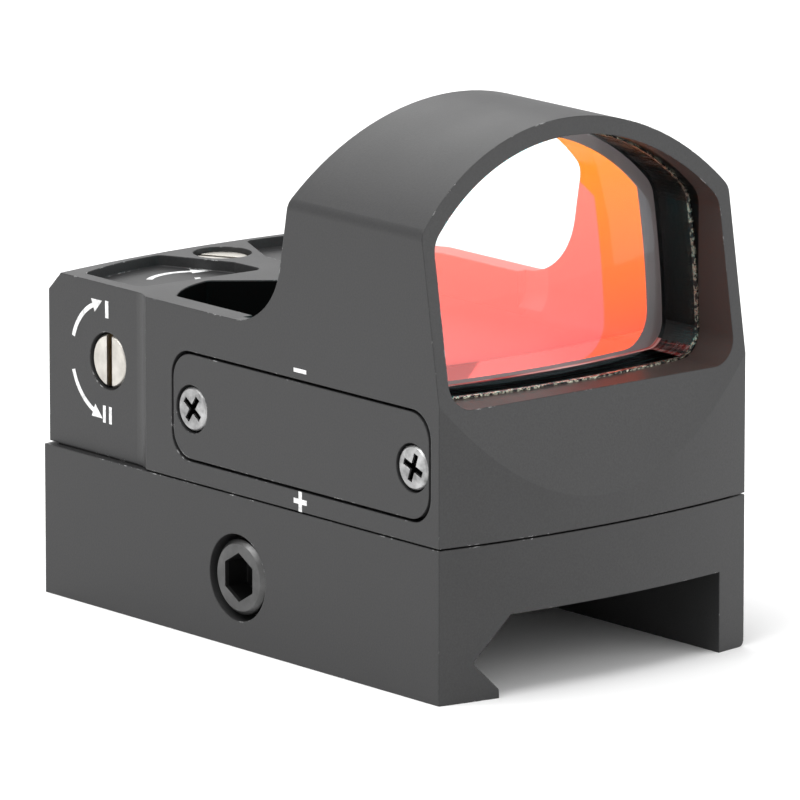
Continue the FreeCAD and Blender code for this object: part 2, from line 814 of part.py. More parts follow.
def make_mount_base():
    body = new_body("mount_base")
    plan = sketch_on(body, "base_plan", "XY_Plane")
    plan_outline(plan)
    pad(body, plan, "seam_height")

    upper_corner = "jaw_apex - (channel_ceiling - jaw_apex_height)"
    tip_height = "jaw_apex_height - (jaw_apex - jaw_tip)"
    channel = sketch_on(body, "rail_channel", "XZ_Plane")
    outline(channel, [
        ("-jaw_tip", "-cut_past"),
        ("far_leg", "-cut_past"),
        ("far_leg", "channel_ceiling"),
        (f"-({upper_corner})", "channel_ceiling"),
        ("-jaw_apex", "jaw_apex_height"),
        ("-jaw_tip", tip_height),
    ])
    pocket(body, channel, "side_length + 2 * end_bulge + cut_past", symmetric=True)
    dress(body, "Fillet", "channel_edge", [
        {"x": "-jaw_tip", "z": tip_height},
        {"x": "-jaw_apex", "z": "jaw_apex_height"},
    ])
    dress(body, "Fillet", "leg_edge", [{"x": "width / 2", "z": "0"}])

    window = sketch_on(body, "jaw_window", "XY_Plane", "-cut_past")
    rectangle(window, "jaw_window_back", "width / 2 + cut_past",
              "-jaw_width / 2 - slide_gap", "jaw_width / 2 + slide_gap")
    pocket(body, window, "jaw_window_top + cut_past", along_normal=True)
    relief = sketch_on(body, "jaw_relief", "XY_Plane", "channel_ceiling")
    rectangle(relief, f"-({upper_corner})", "jaw_window_back",
              "-jaw_width / 2 - slide_gap", "jaw_width / 2 + slide_gap")
    pocket(body, relief, "jaw_relief", along_normal=True)

    sink = sketch_on(body, "bolt_sink", "YZ_Plane", "-width / 2")
    circle(sink, "0", "bolt_height", "bolt_sink_radius")
    pocket(body, sink, "width / 2 - bolt_head_seat", along_normal=True)
    hole = sketch_on(body, "bolt_hole", "YZ_Plane", "-width / 2")
    circle(hole, "0", "bolt_height", "bolt_radius + running_gap")
    pocket(body, hole, "width", along_normal=True)

    cut_fastener_holes(body, "base", "seam_height - channel_ceiling", False)
    sinks = sketch_on(body, "screw_head_sinks", "XY_Plane", "channel_ceiling")
    for x, y in SCREW_PLACES:
        circle(sinks, x, y, "base_screw_head + slide_gap")
    pocket(body, sinks, "base_screw_sink", along_normal=True)
    return body


def make_clamp_jaw():
    """Make the sliding jaw: a V notch for the rail's edge under a threaded block."""
    body = new_body("clamp_jaw")
    apex = "(rail_width - jaw_apex + jaw_rest_gap)"
    roof = "(channel_ceiling - slide_gap)"
    section = sketch_on(body, "jaw_section", "XZ_Plane")
    outline(section, [
        (f"{apex} - jaw_lip_drop", "jaw_lip_low"),
        ("jaw_face", "jaw_lip_low"),
        ("jaw_face", "jaw_top"),
        ("jaw_window_back + jaw_window_play", "jaw_top"),
        ("jaw_window_back + jaw_window_play", roof),
        (f"{apex} - ({roof} - jaw_apex_height)", roof),
        (apex, "jaw_apex_height"),
        (f"{apex} - jaw_lip_drop", "jaw_apex_height - jaw_lip_drop"),
    ])
    pad(body, section, "jaw_width", symmetric=True)
    hole = sketch_on(body, "jaw_thread", "YZ_Plane")
    circle(hole, "0", "bolt_height", "bolt_radius + running_gap")
    pocket(body, hole, "width / 2", along_normal=True)
    dress(body, "Chamfer", "edge_break", [{"x": "jaw_face", "z": z} for z in ("jaw_top", "jaw_lip_low")])
    return body


def six_corners(sketch, across_flats):
    """Draw a hexagon about the origin with two corners on the X axis."""
    corner = f"({across_flats}) / sqrt(3)"
    outline(sketch, [(f"{corner} * cos({angle})", f"{corner} * sin({angle})") for angle in range(0, 360, 60)])


def make_clamp_bolt():
    """Make the hex-socket cross bolt, drawn along its own Z axis from the head's face."""
    body = new_body("clamp_bolt")
    length = "bolt_end + bolt_head_face"
    head = "bolt_head_face - bolt_head_seat"
    half = sketch_on(body, "bolt_half", "XZ_Plane")
    outline(half, [
        ("0", "0"),
        ("bolt_head_radius - edge_break", "0"),
        ("bolt_head_radius", "edge_break"),
        ("bolt_head_radius", head),
        ("bolt_radius", head),
        ("bolt_radius", f"{length} - thread_point"),
        ("bolt_radius - thread_point", length),
        ("0", length),
    ])
    turn(body, half)
    socket = sketch_on(body, "bolt_socket", "XY_Plane")
    six_corners(socket, "bolt_hex")
    pocket(body, socket, "bolt_socket_depth", along_normal=True)
    body.Placement.Rotation = TURNS["+X"]
    move(body, "-bolt_head_face", "0", "bolt_height")
    return body


# Screws and pins

def make_screw_group(label, places, start_height, outline_points, socket):
    """Revolve one screw per place and join them as one group of separate solids."""
    screws = []
    for number, (x, y) in enumerate(places, 1):
        body = new_body(f"{label}_{number}")
        half = sketch_on(body, f"{label}_{number}_half", "XZ_Plane")
        outline(half, outline_points)
        turn(body, half)
        if socket:
            recess = sketch_on(body, f"{label}_{number}_socket", "XY_Plane")
            six_corners(recess, socket)
            pocket(body, recess, "base_socket_depth", along_normal=True)
        move(body, x, y, start_height)
        screws.append(body)
    return fuse(label, screws)


def make_base_screws():
    head = "base_screw_sink - slide_gap"
    length = "base_screw_tip - channel_ceiling - edge_break"
    return make_screw_group("base_screws", SCREW_PLACES, "channel_ceiling + slide_gap", [
        ("0", "0"),
        ("base_screw_head", "0"),
        ("base_screw_head", head),
        ("base_screw_radius", head),
        ("base_screw_radius", length),
        ("0", length),
    ], "base_screw_hex")


def make_locating_pins():
    return make_screw_group("locating_pins", PIN_PLACES, "seam_height - pin_grip", [
        ("0", "0"),
        ("locating_pin_radius - edge_break", "0"),
        ("locating_pin_radius", "edge_break"),
        ("locating_pin_radius", "2 * pin_grip - edge_break"),
        ("locating_pin_radius - edge_break", "2 * pin_grip"),
        ("0", "2 * pin_grip"),
    ], None)


def make_base_seal():
    body = new_body("base_seal")
    loop = sketch_on(body, "seal_loop", "XY_Plane", "seam_height")
    seal_outline(loop)
    pad(body, loop, "seal_depth - running_gap")
    return body


# Battery door and what it covers

def make_battery_door():
    body = new_body("battery_door")
    plate = sketch_on(body, "door_plate", "YZ_Plane", "-width / 2")
    rectangle(plate, "-door_front", "door_rear", "door_low", "door_high")
    pad(body, plate, "door_thickness")
    dress(body, "Fillet", "door_corner", [
        {"y": y, "z": z} for y in ("-door_front", "door_rear") for z in ("door_low", "door_high")
    ])
    holes = sketch_on(body, "door_holes", "YZ_Plane", "-width / 2")
    for place in ("-door_screw_front", "door_screw_rear"):
        circle(holes, place, "door_screw_height", "door_screw_head + door_screw_sink")
    pocket(body, holes, "door_screw_seat", along_normal=True)
    shanks = sketch_on(body, "door_shank_holes", "YZ_Plane", "-width / 2")
    for place in ("-door_screw_front", "door_screw_rear"):
        circle(shanks, place, "door_screw_height", "door_screw_radius + running_gap")
    pocket(body, shanks, "door_thickness", along_normal=True)
    groove = sketch_on(body, "gasket_groove", "YZ_Plane", "-width / 2 + door_thickness")
    gasket_outline(groove)
    pocket(body, groove, "gasket_depth")
    return body


def gasket_outline(sketch):
    """Draw the gasket's loop round the cell's slot."""
    reach = "battery_radius + cell_gap + cell_slot_play"
    low = "battery_height - 2 * cell_slot_play"
    high = "battery_height + battery_thickness + 2 * cell_slot_play"
    for extra in ("0", "gasket_width"):
        rectangle(sketch, f"-battery_middle - ({reach}) - {extra}", f"-battery_middle + {reach} + {extra}",
                  f"{low} - {extra}", f"{high} + {extra}")


def make_door_gasket():
    body = new_body("door_gasket")
    loop = sketch_on(body, "gasket_loop", "YZ_Plane", "-width / 2 + door_thickness - gasket_depth")
    gasket_outline(loop)
    pad(body, loop, "gasket_depth + running_gap")
    return body


def make_door_screw(label, place, twist):
    """Make a low-head screw with a cross recess, drawn along its own Z axis from the head's face."""
    body = new_body(label)
    length = "door_screw_length"
    half = sketch_on(body, label + "_half", "XZ_Plane")
    outline(half, [
        ("0", "0"),
        ("door_screw_head - edge_break / 2", "0"),
        ("door_screw_head", "edge_break / 2"),
        ("door_screw_head", "door_screw_seat / 2"),
        ("door_screw_radius", "door_screw_seat - slide_gap"),
        ("door_screw_radius", f"{length} - thread_point"),
        ("door_screw_radius - thread_point", length),
        ("0", length),
    ])
    turn(body, half)
    arm, half_slot = "cross_reach", "cross_half"
    cross = sketch_on(body, label + "_cross", "XY_Plane")
    outline(cross, [
        (arm, f"-{half_slot}"), (arm, half_slot),
        (half_slot, half_slot), (half_slot, arm),
        (f"-{half_slot}", arm), (f"-{half_slot}", half_slot),
        (f"-{arm}", half_slot), (f"-{arm}", f"-{half_slot}"),
        (f"-{half_slot}", f"-{half_slot}"), (f"-{half_slot}", f"-{arm}"),
        (half_slot, f"-{arm}"), (half_slot, f"-{half_slot}"),
    ])
    pocket(body, cross, "cross_depth", along_normal=True)
    body.Placement.Rotation = TURNS["+X"].multiply(FreeCAD.Rotation(FreeCAD.Vector(0, 0, 1), twist))
    move(body, "-width / 2 + door_screw_below", place, "door_screw_height")
    return body


def make_battery():
    """Make the coin cell: a wide can with the smaller cap on top of it."""
    body = new_body("battery")
    half = sketch_on(body, "cell_half", "XZ_Plane")
    outline(half, [
        ("0", "0"),
        ("battery_radius - edge_break", "0"),
        ("battery_radius", "edge_break"),
        ("battery_radius", "battery_thickness - edge_break"),
        ("battery_radius - cap_step", "battery_thickness - edge_break"),
        ("battery_radius - cap_step", "battery_thickness"),
        ("0", "battery_thickness"),
    ])
    turn(body, half)
    move(body, "-battery_inset", "-battery_middle", "battery_height")
    return body


TRAY_END = "(board_face - board_thickness - 2 * tray_gap)"


def make_battery_tray():
    """Make the moulded tray: a block with a slot for the cell and channels for the two contacts."""
    body = new_body("battery_tray")
    block = sketch_on(body, "tray_plan", "XY_Plane", "seam_height + tray_floor")
    rectangle(block, "-bay_side + tray_gap", TRAY_END, "-bay_front + tray_gap", "bay_rear - tray_gap")
    pad(body, block, "bay_top - seam_height - tray_floor - tray_gap")
    reach = "(battery_radius + cell_gap)"
    start = "tray_slot_turn - battery_inset"
    slot = sketch_on(body, "tray_slot", "XY_Plane", "battery_height - 2 * tray_gap")
    outline(slot, [
        ("-bay_side - cut_past", f"-battery_middle - {reach}"),
        (start, f"-battery_middle - {reach}", f"{reach} + running_gap"),
        (start, f"-battery_middle + {reach}"),
        ("-bay_side - cut_past", f"-battery_middle + {reach}"),
    ])
    pocket(body, slot, "battery_thickness + 4 * tray_gap", along_normal=True)
    channel = sketch_on(body, "contact_channels", "XY_Plane", "battery_height - channel_depth")
    edge = "(contact_width / 2 + tray_gap)"
    rectangle(channel, "-contact_reach - edge_break", "board_face", f"-battery_middle - {edge}",
              f"-battery_middle + {edge}")
    pocket(body, channel, "battery_thickness + 2 * channel_depth", along_normal=True)
    return body


def make_contact(label, side):
    """Make a sprung contact leaf: side -1 lies under the cell and side 1 over it."""
    body = new_body(label)
    face = "battery_thickness / 2 + running_gap"
    middle = "battery_height + battery_thickness / 2"
    leaf = sketch_on(body, label + "_side", "XZ_Plane", "battery_middle")
    near = [(TRAY_END, "leaf_rise"), ("leaf_bend", "leaf_rise"), ("-leaf_touch / 2", "0"),
            ("-leaf_touch", "0"), ("-contact_reach", "leaf_tip_rise")]
    far = [(x, f"{depth} + leaf_thickness") for x, depth in reversed(near)]
    outline(leaf, [(x, f"{middle} + {side} * ({face} + {depth})") for x, depth in near + far])
    pad(body, leaf, "contact_width", symmetric=True)
    return body


# Electronics and buttons

def make_circuit_board():
    body = new_body("circuit_board")
    board = sketch_on(body, "board_shape", "YZ_Plane", "board_face - board_thickness")
    rectangle(board, "-bay_front + 2 * tray_gap", "board_rear - 2 * tray_gap",
              "seam_height + tray_floor", "bay_top - 2 * tray_gap")
    pad(body, board, "board_thickness")
    return body


def make_driver_chip():
    """Make the controller chip on the rear of the board."""
    start = "bay_rear + edge_break"
    return box("driver_chip", ("board_face", "board_face + chip_height"), (start, f"{start} + chip_side"),
               ("button_height - chip_side / 2", "button_height + chip_side / 2"))


def make_tact_switches():
    """Make the two tact switches behind the buttons, each a can with a plunger."""
    pieces = []
    for name, place in (("up", "-button_front"), ("down", "-button_rear")):
        can = box(name + "_switch_can", ("board_face", "board_face + switch_height"),
                  (f"{place} - switch_half", f"{place} + switch_half"),
                  ("button_height - switch_half", "button_height + switch_half"))
        plunger = rod(name + "_switch_plunger", "+X", ("board_face + switch_height", place, "button_height"),
                      "plunger_radius", "plunger_rise")
        pieces += [can, plunger]
    return fuse("tact_switches", pieces)


def make_button(label, place):
    """Make one rubber button: a domed cap, a flange behind the wall and a short stem."""
    body = new_body(label)
    cap_end = "button_face - board_bay"
    dish_radius = "(dish_half^2 + dish_depth^2) / (2 * dish_depth)"
    half = sketch_on(body, label + "_half", "XZ_Plane")
    outline(half, [
        ("0", "-stem_end"),
        ("button_stem", "-stem_end"),
        ("button_stem", "-flange_end"),
        ("button_radius + button_flange", "-flange_end"),
        ("button_radius + button_flange", "-running_gap"),
        ("button_radius", "-running_gap"),
        ("button_radius", f"{cap_end} - edge_break"),
        ("button_radius - edge_break", cap_end),
        ("dish_half", cap_end, f"-({dish_radius})"),
        ("0", f"{cap_end} - dish_depth"),
    ])
    turn(body, half)
    body.Placement.Rotation = TURNS["+X"]
    move(body, "board_bay", place, "button_height")
    return body


def make_button_bezel():
    """Make the thin frame that fills the button panel's seat."""
    body = new_body("button_bezel")
    margin = "button_radius + button_frame - bezel_gap"
    front, rear = f"-button_front - ({margin})", f"-button_rear + {margin}"
    low, high = f"button_height - ({margin})", f"button_height + {margin}"
    plate = sketch_on(body, "bezel_plate", "YZ_Plane", "width / 2 - button_recess")
    rectangle(plate, front, rear, low, high)
    pad(body, plate, "bezel_thickness")
    corners = [{"y": y, "z": z} for y in (front, rear) for z in (low, high)]
    dress(body, "Fillet", "door_corner - bezel_gap", corners)
    holes = sketch_on(body, "bezel_holes", "YZ_Plane", "width / 2 - button_recess")
    for place in ("-button_front", "-button_rear"):
        circle(holes, place, "button_height", "button_radius + slide_gap")
    pocket(body, holes, "bezel_thickness", along_normal=True)
    return body


# Adjusters

def make_adjuster_screw(label, length):
    """Make a slotted adjuster, drawn along its own Z axis from the head's face."""
    body = new_body(label)
    half = sketch_on(body, label + "_half", "XZ_Plane")
    outline(half, [
        ("0", "0"),
        ("adjuster_head - edge_break / 2", "0"),
        ("adjuster_head", "edge_break / 2"),
        ("adjuster_head", "adjuster_seat"),
        ("adjuster_shank", "adjuster_seat"),
        ("adjuster_shank", f"{length} - edge_break"),
        ("adjuster_shank - edge_break", length),
        ("0", length),
    ])
    turn(body, half)
    slot = sketch_on(body, label + "_slot", "XY_Plane")
    reach = "(adjuster_head + cut_past)"
    rectangle(slot, f"-{reach}", reach, "-slot_width / 2", "slot_width / 2")
    pocket(body, slot, "slot_depth", along_normal=True)
    return body


def make_windage_screw():
    screw = make_adjuster_screw("windage_screw", "windage_length")
    screw.Placement.Rotation = TURNS["+X"]
    move(screw, "-width / 2 + side_recess + windage_below", "windage_y", "windage_z")
    return screw


def make_elevation_screw():
    screw = make_adjuster_screw("elevation_screw", "elevation_length")
    screw.Placement.Rotation = TURNS["-Z"].multiply(FreeCAD.Rotation(FreeCAD.Vector(0, 0, 1), SLOT_TWIST))
    move(screw, "0", "elevation_y", "deck_height - elevation_below")
    return screw


def make_clip(label, direction, start):
    """Make a flat retaining clip round an adjuster's shank."""
    disc = rod(label + "_disc", direction, start, "clip_radius", "clip_thickness")
    hole = rod(label + "_hole", direction, start, "adjuster_shank", "clip_thickness")
    return cut(label, disc, [hole])


def make_o_ring(label, direction, middle):
    """Make an adjuster's O-ring, a hair clear of the shank."""
    ring = doc.addObject("Part::Torus", label)
    ring.Placement.Rotation = TURNS[direction]
    ring.setExpression("Radius1", bound("adjuster_shank + running_gap + o_ring_radius"))
    ring.setExpression("Radius2", bound("o_ring_radius"))
    move(ring, *middle)
    return ring


def make_spring(label, direction, start, length, turns):
    """Wind a small compression spring along +X or +Z."""
    body = new_body(label)
    wire = sketch_on(body, label + "_wire", "XZ_Plane")
    circle(wire, "spring_radius", "spring_end", "spring_wire")
    coil = body.newObject("PartDesign::AdditiveHelix", label + "_coil")
    coil.Profile = wire
    coil.ReferenceAxis = (wire, ["V_Axis"])
    coil.Mode = "height-turns-angle"
    coil.setExpression("Height", bound(f"({length}) - 2 * spring_end"))
    coil.Turns = turns
    body.Placement.Rotation = TURNS[direction]
    move(body, *start)
    return body


SHELF_FRONT = "(works_front + adjuster_travel)"


def make_elevation_carriage():
    """Make the carriage that the elevation screw lifts, with the shelf that carries the emitter holder."""
    block = box("carriage_block", ("-carriage_side", "carriage_side"),
                ("carriage_front", "works_rear - edge_break"),
                ("carriage_low", "carriage_low + carriage_height"))
    shelf = box("carriage_shelf", ("-shelf_side", "shelf_side"), (SHELF_FRONT, "carriage_front"),
                ("carriage_low", "shelf_top"))
    start, length = "carriage_low - cut_past", "carriage_height + 2 * cut_past"
    thread = rod("carriage_thread", "+Z", ("0", "elevation_y", start), "adjuster_shank + running_gap", length)
    slides = [rod(name, "+Z", (x, "elevation_y", start), "guide_pin_radius + running_gap", length)
              for name, x in (("left_slide", "-guide_pin_side"), ("right_slide", "guide_pin_side"))]
    return cut("elevation_carriage", fuse("carriage_blank", [block, shelf]), [thread] + slides)


def make_guide_pins():
    length = "works_top - seam_height + guide_pin_grip"
    pins = [rod(name, "+Z", (x, "elevation_y", "seam_height"), "guide_pin_radius", length)
            for name, x in (("left_guide", "-guide_pin_side"), ("right_guide", "guide_pin_side"))]
    return fuse("carriage_guide_pins", pins)


FOOT_LOW = "(shelf_top + running_gap)"
FOOT_TOP = f"({FOOT_LOW} + foot_height)"


def make_windage_nut():
    """Make the nut on the windage screw, with the tongue that drives the holder."""
    low = f"({FOOT_TOP} + adjuster_travel + running_gap)"
    block = box("nut_block", ("-nut_side", "nut_side"), ("windage_y - nut_half", "windage_y + nut_half"),
                (low, "windage_z + nut_half"))
    tongue = box("nut_tongue", ("-tongue_half", "tongue_half"),
                 ("windage_y - adjuster_shank", "windage_y + adjuster_shank"),
                 ("shelf_top + adjuster_travel + slide_gap", low))
    thread = rod("nut_thread", "+X", ("-nut_side - cut_past", "windage_y", "windage_z"),
                 "adjuster_shank + running_gap", "2 * nut_side + 2 * cut_past")
    return cut("windage_nut", fuse("nut_blank", [block, tongue]), [thread])


ARM_FRONT = "(nose_front + nose_wall + led_room)"


def make_emitter_holder():
    """Make the holder: a slotted foot on the shelf, an upright and an arm that reaches into the nose."""
    arm_top = "beam_height + led_rise"
    upright_front = "works_front + edge_break"
    foot = box("holder_foot", ("-nut_side", "nut_side"), (SHELF_FRONT, "windage_y + nut_half + slide_gap"),
               (FOOT_LOW, FOOT_TOP))
    upright = box("holder_upright", ("-arm_side", "arm_side"),
                  (upright_front, "windage_y - nut_half - edge_break"), (FOOT_LOW, arm_top))
    arm = box("holder_arm", ("-arm_side", "arm_side"), (ARM_FRONT, upright_front),
              (f"{arm_top} - arm_height", arm_top))
    slot = box("holder_slot", ("-tongue_half - slide_gap", "tongue_half + slide_gap"),
               ("windage_y - adjuster_shank - slide_gap", "windage_y + nut_half + cut_past"),
               ("shelf_top", "shelf_top + foot_height + cut_past"))
    return cut("emitter_holder", fuse("holder_blank", [foot, upright, arm]), [slot])


def make_led_emitter():
    """Make the emitter: a small base with a round lens that faces forward."""
    low = "beam_height + led_rise / 2 - led_height"
    front = f"{ARM_FRONT} - led_depth"
    chip = box("emitter_base", ("-led_half", "led_half"), (front, ARM_FRONT), (low, f"{low} + led_height"))
    middle = ("0", front, f"{low} + led_height / 2")
    lens = rod("emitter_lens", "-Y", middle, "led_lens_radius", "led_lens_length")
    return fuse("led_emitter", [chip, lens])


def make_emitter_window():
    back = "(nose_front + nose_wall)"
    return box("emitter_window", ("-window_side", "window_side"), (f"{back} - window_thickness", back),
               ("beam_height - window_rise", "beam_height + window_rise"))


# Everything

def make_all():
    parts = [
        make_optic_housing(),
        make_objective_lens(),
        make_lens_bond(),
        make_mount_base(),
        make_clamp_jaw(),
        make_clamp_bolt(),
        make_base_screws(),
        make_locating_pins(),
        make_base_seal(),
        make_battery_door(),
        make_door_gasket(),
        make_door_screw("door_screw_front", "-door_screw_front", FRONT_TWIST),
        make_door_screw("door_screw_rear", "door_screw_rear", REAR_TWIST),
        make_battery(),
        make_battery_tray(),
        make_contact("positive_contact", -1),
        make_contact("negative_contact", 1),
        make_circuit_board(),
        make_driver_chip(),
        make_tact_switches(),
        make_button("brightness_up_button", "-button_front"),
        make_button("brightness_down_button", "-button_rear"),
        make_button_bezel(),
        make_windage_screw(),
        make_elevation_screw(),
        make_clip("windage_clip", "+X", ("-works_side + slide_gap", "windage_y", "windage_z")),
        make_clip("elevation_clip", "+Z", ("0", "elevation_y", "works_top - slide_gap - clip_thickness")),
        make_o_ring("windage_o_ring", "+X", ("-windage_floor - o_ring_radius", "windage_y", "windage_z")),
        make_o_ring("elevation_o_ring", "+Z", ("0", "elevation_y", "elevation_floor + o_ring_radius")),
        make_spring("windage_spring", "+X", ("nut_side", "windage_y", "windage_z"),
                    "works_side - nut_side", WINDAGE_TURNS),
        make_spring("elevation_spring", "+Z", ("0", "elevation_y", "seam_height"),
                    "carriage_low - seam_height", ELEVATION_TURNS),
        make_elevation_carriage(),
        make_guide_pins(),
        make_windage_nut(),
        make_emitter_holder(),
        make_led_emitter(),
        make_emitter_window(),
    ]
    doc.recompute()
    return parts


def export(parts):
    """Stop at any failed object, then write one STEP file for each sub-part."""
    for item in doc.Objects:
        if {"Invalid", "Error"} & set(item.State):
            raise RuntimeError(f"{item.Name} failed: {item.State}")
    os.makedirs("parts", exist_ok=True)
    for part in parts:
        if part.Shape.isNull() or not part.Shape.isValid():
            raise RuntimeError(f"{part.Label} has no valid shape")
        part.Shape.exportStep(f"parts/{part.Label}.step")
        box_size = part.Shape.BoundBox
        print(f"{part.Label}: {len(part.Shape.Solids)} solid(s), {part.Shape.Volume:.2f} mm3, "
              f"x {box_size.XMin:.2f}..{box_size.XMax:.2f} y {box_size.YMin:.2f}..{box_size.YMax:.2f} "
              f"z {box_size.ZMin:.2f}..{box_size.ZMax:.2f}")


export(make_all())
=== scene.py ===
import math

import bmesh
import bpy
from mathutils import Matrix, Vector


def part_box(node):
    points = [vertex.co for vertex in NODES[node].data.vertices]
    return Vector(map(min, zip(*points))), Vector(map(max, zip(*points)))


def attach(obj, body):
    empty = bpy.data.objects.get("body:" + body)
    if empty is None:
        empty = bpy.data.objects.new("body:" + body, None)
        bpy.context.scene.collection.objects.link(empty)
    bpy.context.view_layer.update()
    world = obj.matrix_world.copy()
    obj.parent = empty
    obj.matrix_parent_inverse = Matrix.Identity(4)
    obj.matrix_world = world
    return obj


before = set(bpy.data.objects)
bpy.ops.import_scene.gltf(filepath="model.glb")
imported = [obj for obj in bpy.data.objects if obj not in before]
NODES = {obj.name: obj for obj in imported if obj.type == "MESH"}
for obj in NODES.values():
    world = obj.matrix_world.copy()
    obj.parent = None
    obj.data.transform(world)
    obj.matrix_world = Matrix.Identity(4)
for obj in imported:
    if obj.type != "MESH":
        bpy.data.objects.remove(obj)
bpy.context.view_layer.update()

# A compact reflex sight on a white table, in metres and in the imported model's frame:
# +Z is up, the lens looks along -Y, and the battery door and windage screw are on the -X side.

MM = 0.001
HOUSING_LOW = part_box("optic_housing")[0]
WINDAGE_LOW, WINDAGE_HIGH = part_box("windage_screw")
ELEVATION_LOW, ELEVATION_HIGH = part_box("elevation_screw")
DOOR_LOW, DOOR_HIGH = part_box("battery_door")


# Node helpers

def start_material(name):
    """Return a new material, its node tree and its output node, with nothing else in the tree."""
    material = bpy.data.materials.new(name)
    material.use_nodes = True
    tree = material.node_tree
    tree.nodes.clear()
    return material, tree, tree.nodes.new("ShaderNodeOutputMaterial")


def place(tree):
    """Return the object position as a vector output."""
    return tree.nodes.new("ShaderNodeTexCoord").outputs["Object"]


def feed(tree, socket, source):
    """Give a socket a link or a plain value."""
    if isinstance(source, bpy.types.NodeSocket):
        tree.links.new(source, socket)
    else:
        socket.default_value = source


def maths(tree, operation, first, second=0.0, third=0.0):
    node = tree.nodes.new("ShaderNodeMath")
    node.operation = operation
    for socket, source in zip(node.inputs, (first, second, third)):
        feed(tree, socket, source)
    return node.outputs[0]


def product(tree, sources):
    """Multiply a list of outputs together."""
    result = sources[0]
    for source in sources[1:]:
        result = maths(tree, "MULTIPLY", result, source)
    return result


def noise(tree, vector, scale, detail=2.0, roughness=0.5):
    node = tree.nodes.new("ShaderNodeTexNoise")
    feed(tree, node.inputs["Vector"], vector)
    node.inputs["Scale"].default_value = scale
    node.inputs["Detail"].default_value = detail
    node.inputs["Roughness"].default_value = roughness
    return node.outputs["Fac"]


def remap(tree, source, low, high, to_low=0.0, to_high=1.0):
    """Stretch a value from one range to another, clamped at both ends."""
    node = tree.nodes.new("ShaderNodeMapRange")
    feed(tree, node.inputs["Value"], source)
    for name, number in zip(("From Min", "From Max", "To Min", "To Max"), (low, high, to_low, to_high)):
        node.inputs[name].default_value = number
    return node.outputs["Result"]


def blend_colours(tree, factor, first, second):
    node = tree.nodes.new("ShaderNodeMix")
    node.data_type = "RGBA"
    feed(tree, node.inputs["Factor"], factor)
    feed(tree, node.inputs["A"], first)
    feed(tree, node.inputs["B"], second)
    return node.outputs["Result"]


def grey(level, warmth=0.0):
    """Return a near-neutral colour."""
    return (level * (1 + warmth), level, level * (1 - warmth), 1.0)


def darker(colour, share):
    """Return a colour scaled down to a share of itself."""
    return tuple(share * part for part in colour[:3]) + (1.0,)


def split(tree, vector):
    """Return the three parts of a vector."""
    node = tree.nodes.new("ShaderNodeSeparateXYZ")
    feed(tree, node.inputs[0], vector)
    return node.outputs


def within(tree, source, low, high):
    """Return 1 where a value lies between two limits, else 0."""
    above = maths(tree, "GREATER_THAN", source, low)
    return maths(tree, "MULTIPLY", above, maths(tree, "LESS_THAN", source, high))


def length(tree, parts):
    """Return the length of a vector given as a list of its parts."""
    squares = [maths(tree, "MULTIPLY", part, part) for part in parts]
    total = squares[0]
    for square in squares[1:]:
        total = maths(tree, "ADD", total, square)
    return maths(tree, "SQRT", total)


def own_normal(tree):
    """Return the surface's own normal."""
    return tree.nodes.new("ShaderNodeNewGeometry").outputs["Normal"]


def soft_edges(tree, radius):
    """Return the normal with every sharp edge rounded a little."""
    node = tree.nodes.new("ShaderNodeBevel")
    node.samples = 4
    node.inputs["Radius"].default_value = radius
    return node.outputs["Normal"]


def edge_mask(tree, rounded):
    """Return how far the rounded normal leans from the surface's own, which is 0 away from edges."""
    node = tree.nodes.new("ShaderNodeVectorMath")
    node.operation = "DOT_PRODUCT"
    tree.links.new(rounded, node.inputs[0])
    tree.links.new(own_normal(tree), node.inputs[1])
    return maths(tree, "SUBTRACT", 1.0, node.outputs["Value"])


def bump(tree, height, strength, distance, normal=None):
    node = tree.nodes.new("ShaderNodeBump")
    node.inputs["Strength"].default_value = strength
    node.inputs["Distance"].default_value = distance
    feed(tree, node.inputs["Height"], height)
    if normal is not None:
        tree.links.new(normal, node.inputs["Normal"])
    return node.outputs["Normal"]


def principled(tree, output, **sockets):
    """Add a Principled shader. Names are the socket names with underscores."""
    node = tree.nodes.new("ShaderNodeBsdfPrincipled")
    for name, source in sockets.items():
        feed(tree, node.inputs[name.replace("_", " ")], source)
    tree.links.new(node.outputs[0], output.inputs["Surface"])
    return node


# Materials

BLAST_SCALE = 7000.0
HOUSING_LEVEL = 0.029
BASE_LEVEL = 0.027
HOUSING_GLOSS = 0.36
EDGE_RADIUS = 0.13 * MM
# The lens tunnel is an arch between two walls, and the emitter's well lies behind it.
ARCH_CENTRE = 20.84 * MM
ARCH_INSIDE = 17.26 * MM
TUNNEL_HALF_WIDTH = 13.03 * MM
TUNNEL_FLOOR = 20.55 * MM
TUNNEL_BACK = -2.0 * MM
WELL_HALF_WIDTH = 12.3 * MM
WELL_BACK = 12.2 * MM
WELL_TOP = 23.6 * MM
# Inside the tunnel and the well the colour is a deeper black. In front of the lens a brownish red is painted
# on as painted light, standing in for the coating's red light falling there.
INSIDE_BLACK = (0.004, 0.004, 0.004, 1.0)
PAINTED_LENS_LIGHT = (0.060, 0.042, 0.038, 1.0)
INSIDE_GLOSS = 0.03
LENS_RIM_Y = -18.3 * MM


def bead_blasted(tree, vector, rounded):
    """Return the fine pitted normal of bead-blasted metal."""
    pits = noise(tree, vector, BLAST_SCALE, 3.0, 0.65)
    return bump(tree, pits, 0.35, 0.02 * MM, rounded)


